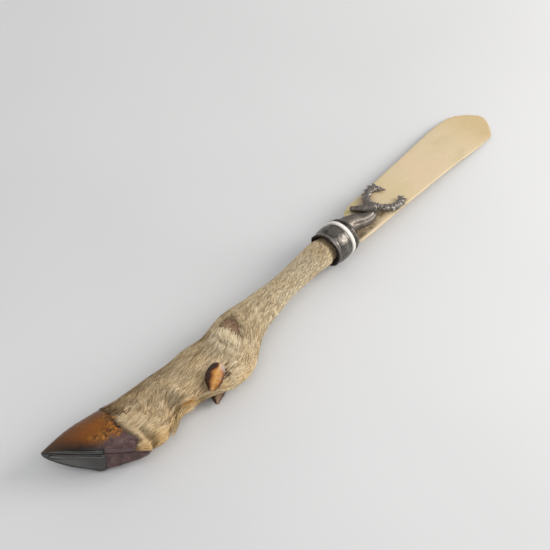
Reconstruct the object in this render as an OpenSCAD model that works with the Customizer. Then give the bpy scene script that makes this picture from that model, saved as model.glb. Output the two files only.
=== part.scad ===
// Paper knife and page turner with a deer's-foot handle. It lies on its side:
// hoof at -X, blade tip at +X, sole side towards -Y, +Z up, table at z = 0.

/* [Leg] */
// Thickness of the dried hide
hide_t = 1.7; // [1.2:0.1:2]
// Width of the cannon bone's shaft
cannon_d = 8.6; // [7:0.1:9]
// Distance from each toe's bones to the leg's middle plane
toe_spread = 5; // [4:0.1:5.5]

/* [Hoof] */
// Height of the plane between the two claws
cleft_z = 13; // [12.8:0.1:13.4]
// Gap between the two claws
cleft_gap = 0.6; // [0.4:0.1:1.2]
// Thickness of the horn wall
wall_t = 1.5; // [1:0.1:2]
// Thickness of each claw at its coronet
coronet_w = 12.4; // [11:0.1:12.5]
// Thickness of the upper claw at its ground edge
upper_ground_w = 7.5; // [6:0.1:9]
// Thickness of the lower claw at its ground edge
lower_ground_w = 12.4; // [9:0.1:12.5]
// How far the toes lift off the cleft's plane
toe_lift = 2.2; // [0:0.1:3]

/* [Collar] */
// Height of the white ring's centre above the table
ring_z = 12; // [11.5:0.1:13]
// Outer radius at the middle of the collar's barrel
barrel_r = 10.9; // [10.6:0.1:11.2]
// Inner radius of the collar
collar_bore_r = 9.2; // [9:0.1:9.4]
// Radius to the middle of the rolled lip
lip_r = 9.75; // [9.7:0.05:10]
// Width of the white ring
ring_w = 2.2; // [2:0.1:2.6]
// Outer radius of the white ring
ring_r = 11; // [10.6:0.1:11.4]

/* [Blade] */
// Length of the blade from the white ring's centre to its tip
blade_reach = 139; // [138:0.5:142]
// Blade thickness at the collar
blade_t = 2.4; // [2:0.1:3]
// Blade thickness at the tip
tip_t = 1; // [0.8:0.1:1.4]
// Width of the tang inside the collar
tang_w = 12; // [9:0.1:12.2]
// Sideways offset of the blade from the collar's axis
blade_offset = 1.2; // [0.8:0.1:1.4]

/* [Hidden] */
$fn = 64;

// The middle of the object's box in X and Y, moved to the frame's origin.
middle = [0.1, -1.5];
ring_x = 36;
ring_y = -2.2;
knife_tilt = asin((ring_z - tip_t / 2) / blade_reach);
eps = 0.02;

// Cross sections of the leg from the coronet to the collar:
// x, middle y, middle z, half depth, half thickness.
LEG = [
    [-133.3, -0.6, 13.0, 16.6, 12.6], [-126, -2.2, 12.9, 17.4, 12.4],
    [-117, -1.4, 12.6, 15.4, 12.0], [-109, 0, 12.2, 13.3, 11.6], [-100, -1.8, 11.9, 14.0, 11.2],
    [-91, -3, 11.7, 14.2, 11.0], [-80, -5.4, 11.6, 16.9, 11.0], [-74, -7, 11.6, 17.2, 11.2],
    [-68, -8, 11.7, 16.8, 11.4], [-60, -6.4, 11.7, 16.6, 11.5], [-52, -3.6, 11.7, 14.9, 11.3],
    [-46, -2, 11.8, 12.9, 10.8], [-38, -1.3, 11.9, 10.7, 9.8], [-27, -1, 12.0, 9.2, 8.6],
    [-14, -1, 12.1, 7.6, 7.6], [-1, -1, 12.3, 7.4, 7.4], [10, -1.2, 12.7, 7.7, 7.7],
    [21, -1.6, 12.9, 8, 8], [31, -1.8, 12.5, 7.8, 7.8]];
LEG_SIDES = 32;

// Where the cannon bone's shaft starts and ends.
CANNON = [[-58, -1.6, 11.8], [30.5, -0.8, 12.5]];

// The flexor tendon's route down the back of the leg.
TENDON = [
    [22, -6.3, 12.8], [-14, -6.15, 12.1], [-46, -9, 11.8], [-62, -19, 11.7],
    [-80, -16.5, 11.6], [-105, -10, 12.1], [-126, -12, 12.9], [-131, -12, 13]];
tendon_r = 0.7;

// The dewclaws, from the root to the tip: middle, half width, half height.
UPPER_DEWCLAW = [
    [[-76, -10, 17], 2.8, 2.3], [[-80, -13, 19], 4.6, 3.5], [[-84.5, -16, 20], 5, 3.5],
    [[-88.5, -18.4, 19.6], 4, 2.8], [[-91.6, -20, 18.6], 1.8, 1.3]];
LOWER_DEWCLAW = [
    [[-74, -9, 6.5], 3.2, 2.6], [[-77.5, -12, 5], 4.6, 3.6], [[-81.5, -14.8, 4.3], 4.8, 3.4],
    [[-85, -17.4, 3.8], 3.2, 2.6], [[-88, -20.2, 3.4], 0.9, 0.8]];

// Claw outline, seen from the side: toe, dorsal coronet, ground heel, back of the coronet.
TOE = [-174.3, 21.5];
CORONET_FRONT = [-134, 16.4];
HEEL_GROUND = [-142, -13.2];
HEEL_TOP = [-133.5, -17.2];
dorsal_bulge = 2.2;
heel_bulge = 2.6;
sole_bulge = 1.2;
skirt = 2;
CLAW_RINGS = 12;
CLAW_SIDES = 23;
sole_low = 0.02;
sole_top = 0.14;
bone_top = 0.98;

// Blade outline in the knife's own frame: distance from the white ring, sideways.
BLADE = [
    [5.7, -11], [8, -11.6], [20, -12], [50, -12.2], [72, -12.6], [94, -13.1], [117, -14.5],
    [129.5, -14.2], [134, -10.4], [137.5, -5.9], [139, -1.2], [138, 2.6], [134, 7.6], [128, 12.2],
    [123, 14.2], [115, 15.2], [105, 15.2], [88, 14.2], [68, 13.2], [46, 11.9], [24, 11.2],
    [21, 10.7], [17.5, 9.5], [15.6, 8], [13, 6.8], [5.7, 6.2]];
cap_end = 5.6;
barrel_back = -11;
mouth = -11.5;
lip_half = 0.5;
barrel_swell = 0.8;
barrel_front = -ring_w / 2;
STEPS = 12;
bead_r = 0.45;
BEADS = [[ring_r - 0.5, ring_w / 2 + bead_r], [ring_r - 0.8, ring_w / 2 + 3 * bead_r + eps]];
cap_start = ring_w / 2 + 4 * bead_r + 3 * eps;
tang_back = -4;
tang_t = 2;
tang_hole_r = 6.4;

// Stag mount, in the knife's own frame: centre, half width, half height.
NECK = [
    [[5.3, 0.6, 1.2], 6.2, 7.6], [[9, 0.5, 1.2], 5.9, 6.8], [[14, -0.6, 1.2], 5.3, 5.6],
    [[18, -2.4, 1.2], 4.9, 4.7], [[22, -3.7, 1.2], 4, 4.2], [[26, -4, 1.2], 3, 4],
    [[29, -3.4, 1.2], 1.4, 3.6]];
HEAD = [
    [[31, -4, 4.4], 0.8, 0.8], [[30, -3.2, 4.4], 2.4, 2.1], [[28.2, -1.6, 4.4], 3.1, 2.6],
    [[25.8, 0.6, 4.2], 3, 2.6], [[23.4, 3, 3.8], 2.3, 2.1], [[21.6, 5.2, 3.4], 1.7, 1.6],
    [[20.4, 6.9, 3.1], 1.4, 1.4], [[19.9, 7.6, 3], 0.7, 0.7]];
LEFT_EAR = [
    [[28.4, 0.2, 6], 0.9, 0.5], [[28, 1.7, 6.5], 1.4, 0.6], [[27.4, 3.1, 6.7], 1, 0.5],
    [[26.9, 4.3, 6.6], 0.2, 0.2]];
RIGHT_EAR = [
    [[29.6, -4.6, 5.4], 0.8, 0.5], [[30.6, -5.8, 5.6], 1.2, 0.5], [[31.8, -6.9, 5.6], 0.9, 0.4],
    [[32.8, -7.8, 5.4], 0.2, 0.2]];
LEFT_ANTLER = [
    [[29.8, 0.2, 5], 1.3, 1.2], [[30.8, 3.2, 4.2], 1.7, 1.4], [[33.2, 5.8, 3.4], 1.9, 1.5],
    [[37, 7.6, 3], 2, 1.5], [[40.6, 8.4, 2.9], 2, 1.5], [[43.2, 7.4, 2.9], 1.7, 1.4],
    [[44.9, 4.8, 3], 1.2, 1], [[46.2, 1.9, 3.2], 0.3, 0.3]];
LEFT_TINES = [
    [[32, 5, 3.6], [30.2, 7.6, 3.8]], [[34.6, 6.8, 3.2], [33.2, 9.8, 3.4]],
    [[38, 8, 3], [37, 11, 3.4]], [[41.4, 8.6, 3], [40.8, 11.6, 3.6]], [[43, 7.6, 3], [44.4, 10.6, 3.8]]];
RIGHT_ANTLER = [
    [[30.4, -2.8, 5], 1.4, 1.3], [[32.6, -5.4, 4.2], 1.9, 1.5], [[35.8, -8, 3.4], 2.1, 1.6],
    [[39.5, -9.8, 3], 2.2, 1.6], [[43.2, -10.2, 2.9], 2.1, 1.5], [[45.9, -8.9, 3], 1.6, 1.2],
    [[47, -6, 3.2], 0.4, 0.4]];
RIGHT_TINES = [
    [[36.4, -8.6, 3.2], [35.6, -11.8, 3.4]], [[39.5, -10, 3], [39.2, -13.2, 3.4]],
    [[43.2, -10.4, 3], [43.6, -13.6, 3.6]], [[45.2, -9.8, 3], [47.8, -12, 3.6]],
    [[46, -8.6, 3], [48.9, -8.6, 3.4]]];
MOUNT_FLOOR = 1.25;
PEG = [21, -3.4];
peg_r = 0.8;

function unit(v) = v / norm(v);

// A flat ring of points about a middle, turning to the right about its heading.
function ring(middle, heading, half_w, half_h, sides) =
    let (side = unit(cross([0, 0, 1], heading)), up = cross(unit(heading), side))
    [for (k = [0:sides - 1]) let (a = 360 * k / sides)
        middle + side * half_w * cos(a) + up * half_h * sin(a)];

// The heading at each station of a route.
function heading(route, i) =
    route[min(i + 1, len(route) - 1)][0] - route[max(i - 1, 0)][0];

function route_rings(route, sides) =
    [for (i = [0:len(route) - 1]) ring(route[i][0], heading(route, i), route[i][1], route[i][2], sides)];

// One closed skin over a list of rings, each with the same even number of points.
module skin(rings) {
    n = len(rings[0]);
    last = len(rings) - 1;
    points = [for (r = rings) for (p = r) p];
    sides = [for (i = [0:last - 1]) for (k = [0:n - 1])
        let (a = i * n + k, b = i * n + (k + 1) % n)
        each [[a, a + n, b + n], [a, b + n, b]]];
    start = [for (k = [0:n / 2 - 2]) each [[k, k + 1, n - 2 - k], [k, n - 2 - k, n - 1 - k]]];
    end = [for (face = start) [for (k = [2:-1:0]) last * n + face[k]]];
    polyhedron(points, concat(start, sides, end), convexity = 8);
}

// Moves a shape from the working layout to the row's frame.
module placed() {
    translate([-middle[0], -middle[1], 0]) children();
}

// The knife's own frame: x along the blade from the white ring, z out of its face.
module knife() {
    placed() translate([ring_x, ring_y, ring_z]) rotate([0, knife_tilt, 0]) children();
}

// A shape turned about the knife's axis, from points of radius and distance.
module turned(profile) {
    rotate([0, 90, 0]) rotate_extrude() polygon(profile);
}

// Turns a shape's z axis onto the line from one point towards another.
module along(from, to) {
    line = to - from;
    translate(from) rotate([0, acos(line[2] / norm(line)), atan2(line[1], line[0])]) children();
}

// A bone turned about its own axis: a shaft with a round knob at each end.
module long_bone(from, to, shaft_r, near_r, far_r) {
    near = acos(shaft_r / near_r);
    far = acos(shaft_r / far_r);
    along(from, to) rotate_extrude() polygon(concat(
        [for (i = [0:STEPS]) let (a = -90 + (90 + near) * i / STEPS) near_r * [cos(a), sin(a)]],
        [for (i = [0:STEPS]) let (a = -far + (90 + far) * i / STEPS)
            [far_r * cos(a), norm(to - from) + far_r * sin(a)]]));
}

// ---- leg ----

module leg_form(inset, overrun) {
    last = len(LEG) - 1;
    skin([for (i = [0:last]) let (s = LEG[i], x = s[0] + (i == 0 ? -overrun : i == last ? overrun : 0))
        ring([x, s[1], s[2]], [1, 0, 0], s[3] - inset, s[4] - inset, LEG_SIDES)]);
}

module hide() {
    color("tan") placed() difference() {
        leg_form(0, 0);
        leg_form(hide_t, 3);
    }
}

module cannon_bone() {
    color("ivory") placed() {
        along(CANNON[0], CANNON[1]) cylinder(d = cannon_d, h = norm(CANNON[1] - CANNON[0]));
        for (side = [-1, 1]) translate([-60, -4, 11.7 + side * 4.6]) sphere(4.8);
    }
}

module sesamoid_bones() {
    color("ivory") placed()
        for (side = [-1, 1]) translate([-62, -14.5, 11.7 + side * 4]) sphere(3.2);
}

module first_phalanx(side) {
    color("ivory") placed()
        long_bone([-69.3, -4, 11.8 + side * toe_spread], [-103, -1, 12.1 + side * toe_spread], 3.2, 4.1, 3.7);
}

module second_phalanx(side) {
    color("ivory") placed()
        long_bone([-110.6, -0.6, 12.2 + side * toe_spread], [-130.3, 0, 13 + side * toe_spread], 3, 3.6, 3.4);
}

module upper_first_phalanx() { first_phalanx(1); }

module lower_first_phalanx() { first_phalanx(-1); }

module upper_second_phalanx() { second_phalanx(1); }

module lower_second_phalanx() { second_phalanx(-1); }

module flexor_tendon() {
    color("khaki") placed() skin(route_rings([for (p = TENDON) [p, tendon_r, tendon_r]], 10));
}

// ---- claws ----

// Front and back of a claw's outline at level t, from 0 on the ground to 1 at the coronet.
function claw_front(t) = TOE + (CORONET_FRONT - TOE) * t + [0, dorsal_bulge * sin(180 * t)];

function claw_back(t) = HEEL_GROUND + (HEEL_TOP - HEEL_GROUND) * t + [0, -heel_bulge * sin(180 * t)];

// How far back the horn slipper reaches, as a share of the claw's depth at level t.
function heel_share(t) = 0.66 + 0.14 * t;

// The turn on a claw's outline that lies at a share of its depth.
function turn_at(share) = acos(1 - 2 * share);

// Part of one level of a claw: flat towards the cleft, rounded outwards, pointed at the toe.
function claw_arc(t, ground_w, lift, inset, from, to) =
    let (front = claw_front(t), back = claw_back(t), along = unit(back - front),
        f = front + along * inset * 2.2, b = back - along * inset,
        w = ground_w + (coronet_w - ground_w) * sin(90 * t) - inset)
    [for (k = [0:CLAW_SIDES])
        let (a = from + (to - from) * k / CLAW_SIDES, s = (1 - cos(a)) / 2,
            out = pow(max(sin(a), 0), 0.8) * (0.8 + 0.2 * sin(180 * s)) * (1 - 0.35 * (1 - t) * (1 - s)),
            p = f + (b - f) * s + [along[1], -along[0]] * (1 - t) * (sole_bulge * sin(180 * s) + skirt * out))
        [p[0], p[1], inset + (w - inset) * out + lift * (1 - t) * pow(1 - s, 1.5)]];

function levels(low, high) = [for (i = [0:CLAW_RINGS]) low + (high - low) * i / CLAW_RINGS];

// Puts a claw above the cleft, or mirrored below it.
module claw(above) {
    translate([0, 0, cleft_z + (above ? 1 : -1) * cleft_gap / 2]) mirror([0, 0, above ? 0 : 1]) children();
}

// The solid inside the horn wall, from one level to another.
module claw_core(ground_w, lift, inset, low, high) {
    skin([for (t = levels(low, high)) let (heel = turn_at(heel_share(t)) - 1)
        claw_arc(t, ground_w, lift, inset, -heel, heel)]);
}

module hoof_wall(above, ground_w, lift) {
    color("sienna") placed() claw(above)
        skin([for (t = levels(0, 1)) let (heel = turn_at(heel_share(t)))
            concat(claw_arc(t, ground_w, lift, 0, -heel, heel),
                claw_arc(t, ground_w, lift, wall_t, heel, -heel))]);
}

module sole(above, ground_w, lift) {
    color("darkslategray") placed() claw(above) claw_core(ground_w, lift, wall_t + eps, sole_low, sole_top);
}

module pedal_bone(above, ground_w, lift) {
    color("ivory") placed() claw(above) claw_core(ground_w, lift, wall_t + 0.3, sole_top + 0.01, bone_top);
}

module heel_bulb(above, ground_w, lift) {
    color("rosybrown") placed() claw(above)
        skin([for (t = levels(0.04, 1)) let (heel = turn_at(heel_share(t)) + 1)
            claw_arc(t, ground_w, lift, 0, heel, 360 - heel)]);
}

module upper_hoof_wall() { hoof_wall(true, upper_ground_w, toe_lift); }

module lower_hoof_wall() { hoof_wall(false, lower_ground_w, -toe_lift); }

module upper_sole() { sole(true, upper_ground_w, toe_lift); }

module lower_sole() { sole(false, lower_ground_w, -toe_lift); }

module upper_pedal_bone() { pedal_bone(true, upper_ground_w, toe_lift); }

module lower_pedal_bone() { pedal_bone(false, lower_ground_w, -toe_lift); }

module upper_heel_bulb() { heel_bulb(true, upper_ground_w, toe_lift); }

module lower_heel_bulb() { heel_bulb(false, lower_ground_w, -toe_lift); }

// A small claw on the back of the fetlock, outside the hide.
module dewclaw(route) {
    color("peru") placed() difference() {
        skin(route_rings(route, 20));
        leg_form(0, 0);
    }
}

module upper_dewclaw() { dewclaw(UPPER_DEWCLAW); }

module lower_dewclaw() { dewclaw(LOWER_DEWCLAW); }

// ---- collar ----

module collar() {
    color("dimgray") knife() difference() {
        turned(concat([[0, barrel_front]],
            [for (i = [0:STEPS]) [barrel_r - barrel_swell * (1 - sin(180 * i / STEPS)),
                barrel_front + (barrel_back - barrel_front) * i / STEPS]],
            [[lip_r + 0.1, mouth], [0, mouth]]));
        turned([[0, barrel_front + 1], [collar_bore_r, barrel_front + 1], [collar_bore_r, mouth - 1],
            [0, mouth - 1]]);
    }
}

module collar_lip() {
    color("gray") knife() rotate([0, 90, 0]) translate([0, 0, mouth - lip_half - 0.01])
        rotate_extrude() translate([lip_r, 0]) circle(r = lip_half, $fn = 32);
}

module bone_ring() {
    color("white") knife() turned([[tang_hole_r, -ring_w / 2 + eps], [ring_r - 0.3, -ring_w / 2 + eps],
        [ring_r, -ring_w / 4], [ring_r, ring_w / 4], [ring_r - 0.3, ring_w / 2 - eps],
        [tang_hole_r, ring_w / 2 - eps]]);
}

module bead_rings() {
    color("silver") knife() for (bead = BEADS) {
        rotate([0, 90, 0]) translate([0, 0, bead[1]]) rotate_extrude() union() {
            translate([bead[0], 0]) circle(r = bead_r, $fn = 24);
            translate([tang_hole_r, -bead_r + eps]) square([bead[0] - tang_hole_r, 2 * (bead_r - eps)]);
        }
    }
}

module end_cap() {
    color("gray") knife() difference() {
        turned([[0, cap_start], [ring_r - 0.7, cap_start], [ring_r - 0.6, cap_start + 0.8],
            [ring_r - 1, cap_end - 0.6], [ring_r - 1.6, cap_end], [0, cap_end]]);
        translate([0, -tang_w / 2 - eps, -tang_t / 2 - eps]) cube([2 * cap_end, tang_w + 2 * eps, tang_t + 2 * eps]);
    }
}

module cement_filling() {
    color("black") difference() {
        knife() difference() {
            union() {
                turned([[0, -ring_w / 2 - 1 - eps], [collar_bore_r - eps, -ring_w / 2 - 1 - eps],
                    [collar_bore_r - eps, barrel_back + 1], [0, barrel_back + 1]]);
                turned([[0, cap_start - eps], [tang_hole_r - eps, cap_start - eps],
                    [tang_hole_r - eps, -ring_w / 2 - 2], [0, -ring_w / 2 - 2]]);
            }
            tang(eps);
        }
        placed() leg_form(0, 0);
    }
}

// ---- blade ----

module tang(clearance) {
    translate([tang_back - clearance, -tang_w / 2 - clearance, -tang_t / 2 - clearance])
        cube([cap_end + 0.3 - tang_back + 2 * clearance, tang_w + 2 * clearance, tang_t + 2 * clearance]);
}

module blade() {
    color("wheat") knife() difference() {
        union() {
            intersection() {
                translate([0, blade_offset, -5]) linear_extrude(10) polygon(BLADE);
                rotate([90, 0, 0]) translate([0, 0, -20]) linear_extrude(40)
                    polygon([[cap_end, -blade_t / 2], [blade_reach + 1, -tip_t / 2], [blade_reach + 1, tip_t / 2],
                        [110, blade_t * 0.36], [40, blade_t / 2], [cap_end, blade_t / 2]]);
            }
            tang(0);
        }
        translate([PEG[0], PEG[1] + blade_offset, 0]) cylinder(r = peg_r, h = 5);
    }
}

// ---- stag mount ----

// The knife's frame, moved sideways to the blade's line.
module mount() {
    knife() translate([0, blade_offset, 0]) children();
}

// Keeps a casting above the blade's face, so that it sits on it.
module on_blade() {
    intersection() {
        children();
        translate([cap_end + eps, -20, MOUNT_FLOOR]) cube([60, 40, 20]);
    }
}

module stag_head() {
    color("slategray") mount() difference() {
        on_blade() union() {
            skin(route_rings(NECK, 24));
            skin(route_rings(HEAD, 20));
        }
        translate([PEG[0], PEG[1], 0]) cylinder(r = peg_r, h = 4);
    }
}

module mount_peg() {
    color("silver") mount() translate([PEG[0], PEG[1], eps]) cylinder(r = peg_r - eps, h = 4 - 2 * eps);
}

module stag_ears() {
    color("slategray") mount() difference() {
        union() {
            skin(route_rings(LEFT_EAR, 12));
            skin(route_rings(RIGHT_EAR, 12));
        }
        skin(route_rings(HEAD, 20));
        skin(route_rings(NECK, 24));
        skin(route_rings(LEFT_ANTLER, 12));
        skin(route_rings(RIGHT_ANTLER, 12));
    }
}

module antler(beam, tines) {
    color("darkgray") mount() difference() {
        on_blade() {
            skin(route_rings(beam, 12));
            for (tine = tines)
                skin(route_rings([[tine[0], 1, 0.9], [(tine[0] + tine[1]) / 2, 0.8, 0.7],
                    [tine[1], 0.2, 0.2]], 8));
        }
        skin(route_rings(HEAD, 20));
        skin(route_rings(NECK, 24));
    }
}

module left_antler() { antler(LEFT_ANTLER, LEFT_TINES); }

module right_antler() { antler(RIGHT_ANTLER, RIGHT_TINES); }

hide();
cannon_bone();
sesamoid_bones();
upper_first_phalanx();
lower_first_phalanx();
upper_second_phalanx();
lower_second_phalanx();
upper_pedal_bone();
lower_pedal_bone();
flexor_tendon();
upper_hoof_wall();
lower_hoof_wall();
upper_sole();
lower_sole();
upper_heel_bulb();
lower_heel_bulb();
upper_dewclaw();
lower_dewclaw();
collar();
collar_lip();
bone_ring();
bead_rings();
end_cap();
cement_filling();
blade();
stag_head();
stag_ears();
left_antler();
right_antler();
mount_peg();
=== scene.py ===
"""Looks of a paper knife and page turner with a deer's-foot handle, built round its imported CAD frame.

Shapes are worked out in millimetres in the layout that the CAD source uses, and to_row() takes them to
the frame in metres. The knife's own frame (u along the blade, v sideways, w out of its face) goes
through knife().
"""

import math

import bpy
import numpy as np
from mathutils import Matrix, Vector, noise


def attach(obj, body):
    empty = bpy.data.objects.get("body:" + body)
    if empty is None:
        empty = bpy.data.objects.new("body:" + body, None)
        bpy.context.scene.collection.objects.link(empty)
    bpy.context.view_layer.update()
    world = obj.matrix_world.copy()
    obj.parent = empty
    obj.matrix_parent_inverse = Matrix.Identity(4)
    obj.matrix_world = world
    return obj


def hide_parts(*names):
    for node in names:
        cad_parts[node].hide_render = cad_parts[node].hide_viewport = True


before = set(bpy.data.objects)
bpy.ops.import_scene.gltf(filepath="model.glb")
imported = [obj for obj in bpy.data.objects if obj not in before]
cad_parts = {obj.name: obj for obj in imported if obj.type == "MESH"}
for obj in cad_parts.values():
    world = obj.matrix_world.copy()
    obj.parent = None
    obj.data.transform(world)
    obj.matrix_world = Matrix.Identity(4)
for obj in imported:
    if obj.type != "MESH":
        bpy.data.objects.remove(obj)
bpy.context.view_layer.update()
rng = np.random.default_rng(220)

MM = 0.001
MIDDLE = np.array([0.1, -1.5, 0.0])
KNIFE_ORIGIN = np.array([36.0, -2.2, 12.0])
BLADE_REACH = 139.0
TIP_THICKNESS = 1.0
KNIFE_TILT = math.asin((KNIFE_ORIGIN[2] - TIP_THICKNESS / 2) / BLADE_REACH)
BLADE_OFFSET = 1.2


# ---------------- places


def to_row(points):
    return (np.asarray(points, float) - MIDDLE) * MM


def knife(points):
    u, v, w = np.moveaxis(np.asarray(points, float), -1, 0)
    c, s = math.cos(KNIFE_TILT), math.sin(KNIFE_TILT)
    return KNIFE_ORIGIN + np.stack([u * c + w * s, v, w * c - u * s], -1)


def mount(points):
    """From the blade's own middle line, which stands a little to one side of the knife's axis."""
    return knife(np.asarray(points, float) + [0, BLADE_OFFSET, 0])


def full_turn(sides):
    return np.linspace(0, 2 * math.pi, sides, endpoint=False)


def degrees(turn):
    return np.degrees(turn) % 360


def ease(low, high, value):
    """0 up to low, 1 from high, and smooth between them."""
    t = np.clip((np.asarray(value, float) - low) / (high - low), 0, 1)
    return t * t * (3 - 2 * t)


def bell(value, middle, half):
    """1 at the middle, and almost 0 at twice half from it."""
    return np.exp(-(((value - middle) / half) ** 2))


def spline(table, at):
    """Cubic through the rows of table, whose first column is the place along it."""
    table = np.asarray(table, float)
    x, rows = table[:, 0], table[:, 1:]
    slope = np.gradient(rows, x, axis=0)
    at = np.clip(np.asarray(at, float), x[0], x[-1])
    i = np.clip(np.searchsorted(x, at, side="right") - 1, 0, len(x) - 2)
    h = (x[i + 1] - x[i])[..., None]
    t = ((at - x[i]) / (x[i + 1] - x[i]))[..., None]
    return (
        (2 * t**3 - 3 * t**2 + 1) * rows[i]
        + (t**3 - 2 * t**2 + t) * h * slope[i]
        + (3 * t**2 - 2 * t**3) * rows[i + 1]
        + (t**3 - t**2) * h * slope[i + 1]
    )


def turbulence(points, size, octaves=3):
    """Smooth noise from about -1 to 1 at each point, with features of about size."""
    flat = np.asarray(points, float).reshape(-1, 3) / size
    values = [noise.fractal(Vector(p), 0.9, 2.1, octaves) for p in flat]
    return np.array(values).reshape(np.shape(points)[:-1])


# ---------------- meshes


def piece(name, points, faces, material, slot, stands_for=(), marks=None, crisp=50):
    """A mesh piece from layout points in millimetres, with corners sharper than crisp degrees left sharp.
    marks are values that its material reads at each point."""
    mesh = bpy.data.meshes.new(name)
    mesh.from_pydata(to_row(points).tolist(), [], faces)
    mesh.validate()
    mesh.shade_smooth()
    if crisp:
        mesh.set_sharp_from_angle(angle=math.radians(crisp))
    for key, values in (marks or {}).items():
        layer = mesh.attributes.new(key, "FLOAT", "POINT")
        layer.data.foreach_set("value", np.asarray(values, np.float32).ravel())
    mesh.materials.append(material)
    obj = bpy.data.objects.new(name, mesh)
    bpy.context.scene.collection.objects.link(obj)
    if stands_for:
        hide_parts(*stands_for)
    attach(obj, "root")


def quads(rows, n, closed=False):
    """Faces round and between rows of n points, and from the last row to the first if closed."""
    i, k = np.arange(rows if closed else rows - 1)[:, None], np.arange(n)
    near, far = i * n, (i + 1) % rows * n
    after = (k + 1) % n
    corners = np.stack([near + k, near + after, far + after, far + k], -1)
    return [tuple(f) for f in corners.reshape(-1, 4).tolist()]


def loft(rings):
    """A closed skin over rings of points, closed at both ends by a fan round their middle."""
    rings = np.asarray(rings, float)
    count, n = rings.shape[:2]
    points = np.concatenate([rings.reshape(-1, 3), [rings[0].mean(0)], [rings[-1].mean(0)]])
    faces = quads(count, n)
    last, middle = (count - 1) * n, count * n
    for k in range(n):
        after = (k + 1) % n
        faces += [(after, k, middle), (last + k, last + after, middle + 1)]
    return points, faces


def with_ends(values):
    """One value for each point of a loft, its two end points included."""
    values = np.asarray(values, float)
    return np.concatenate([values.ravel(), [values[0].mean(), values[-1].mean()]])


def tube_shell(outer, inner):
    """A wall between two skins with the same rings, closed at both ends."""
    count, n = outer.shape[:2]
    points = np.concatenate([outer.reshape(-1, 3), inner.reshape(-1, 3)])
    half, last = count * n, (count - 1) * n
    faces = quads(count, n)
    faces += [(half + b, half + a, half + d, half + c) for a, b, c, d in faces]
    for a in range(n):
        b = (a + 1) % n
        faces.append((b, a, half + a, half + b))
        faces.append((last + a, last + b, half + last + b, half + last + a))
    return points, faces


def turned(along, radius, turn):
    """Points at a radius from the knife's axis."""
    return np.stack(np.broadcast_arrays(along, radius * np.cos(turn), radius * np.sin(turn)), -1)


def lathe(profile, dents, dent_size):
    """A closed profile of radius and distance turned about the knife's axis, with shallow dents."""
    radius, along = np.asarray(profile, float).T
    turn = full_turn(ROUND_SIDES)[:, None]
    rings = turned(along, radius, turn)
    rings = rings + turned(0, turbulence(rings, dent_size, 2) * dents, turn)
    return knife(rings.reshape(-1, 3)), quads(ROUND_SIDES, len(radius), True)


def rounded(profile, radius, steps=5):
    """A closed profile with each corner turned into a short arc."""
    profile = np.asarray(profile, float)
    out = []
    for i, corner in enumerate(profile):
        a, b = profile[i - 1] - corner, profile[(i + 1) % len(profile)] - corner
        reach = min(radius, np.linalg.norm(a) / 2.2, np.linalg.norm(b) / 2.2)
        start = corner + a / np.linalg.norm(a) * reach
        end = corner + b / np.linalg.norm(b) * reach
        for t in np.linspace(0, 1, steps):
            out.append((1 - t) ** 2 * start + 2 * t * (1 - t) * corner + t * t * end)
    return np.array(out)


def swept(route, sides, steps):
    """Rings along a route, whose rows are a middle, a half width and a half height, by a cubic."""
    route = np.array(route, float)
    length = np.cumsum(np.linalg.norm(np.diff(route[:, :3], axis=0), axis=1))
    length = np.concatenate([[0], length])
    rows = spline(np.column_stack([length, route]), np.linspace(0, length[-1], steps))
    middle, half = rows[:, :3], np.clip(rows[:, 3:], 0.05, None)
    heading = np.gradient(middle, axis=0)
    heading /= np.linalg.norm(heading, axis=1, keepdims=True)
    side = np.cross([0, 0, 1], heading)
    side /= np.linalg.norm(side, axis=1, keepdims=True).clip(1e-6)
    up = np.cross(heading, side)
    turn = full_turn(sides)
    return (
        middle[:, None]
        + side[:, None] * (half[:, :1] * np.cos(turn))[..., None]
        + up[:, None] * (half[:, 1:] * np.sin(turn))[..., None]
    )


def outward(rings):
    """Rough outward directions of a skin's rings: away from each ring's own middle."""
    away = rings - rings.mean(1, keepdims=True)
    return away / np.linalg.norm(away, axis=-1, keepdims=True).clip(1e-6)


# ---------------- materials


def srgb(r, g, b):
    """A colour as it shows on screen, 0 to 255, as linear red, green, blue and alpha."""
    return tuple(
        c / 255 / 12.92 if c <= 10 else ((c / 255 + 0.055) / 1.055) ** 2.4 for c in (r, g, b)
    ) + (1.0,)


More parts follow.
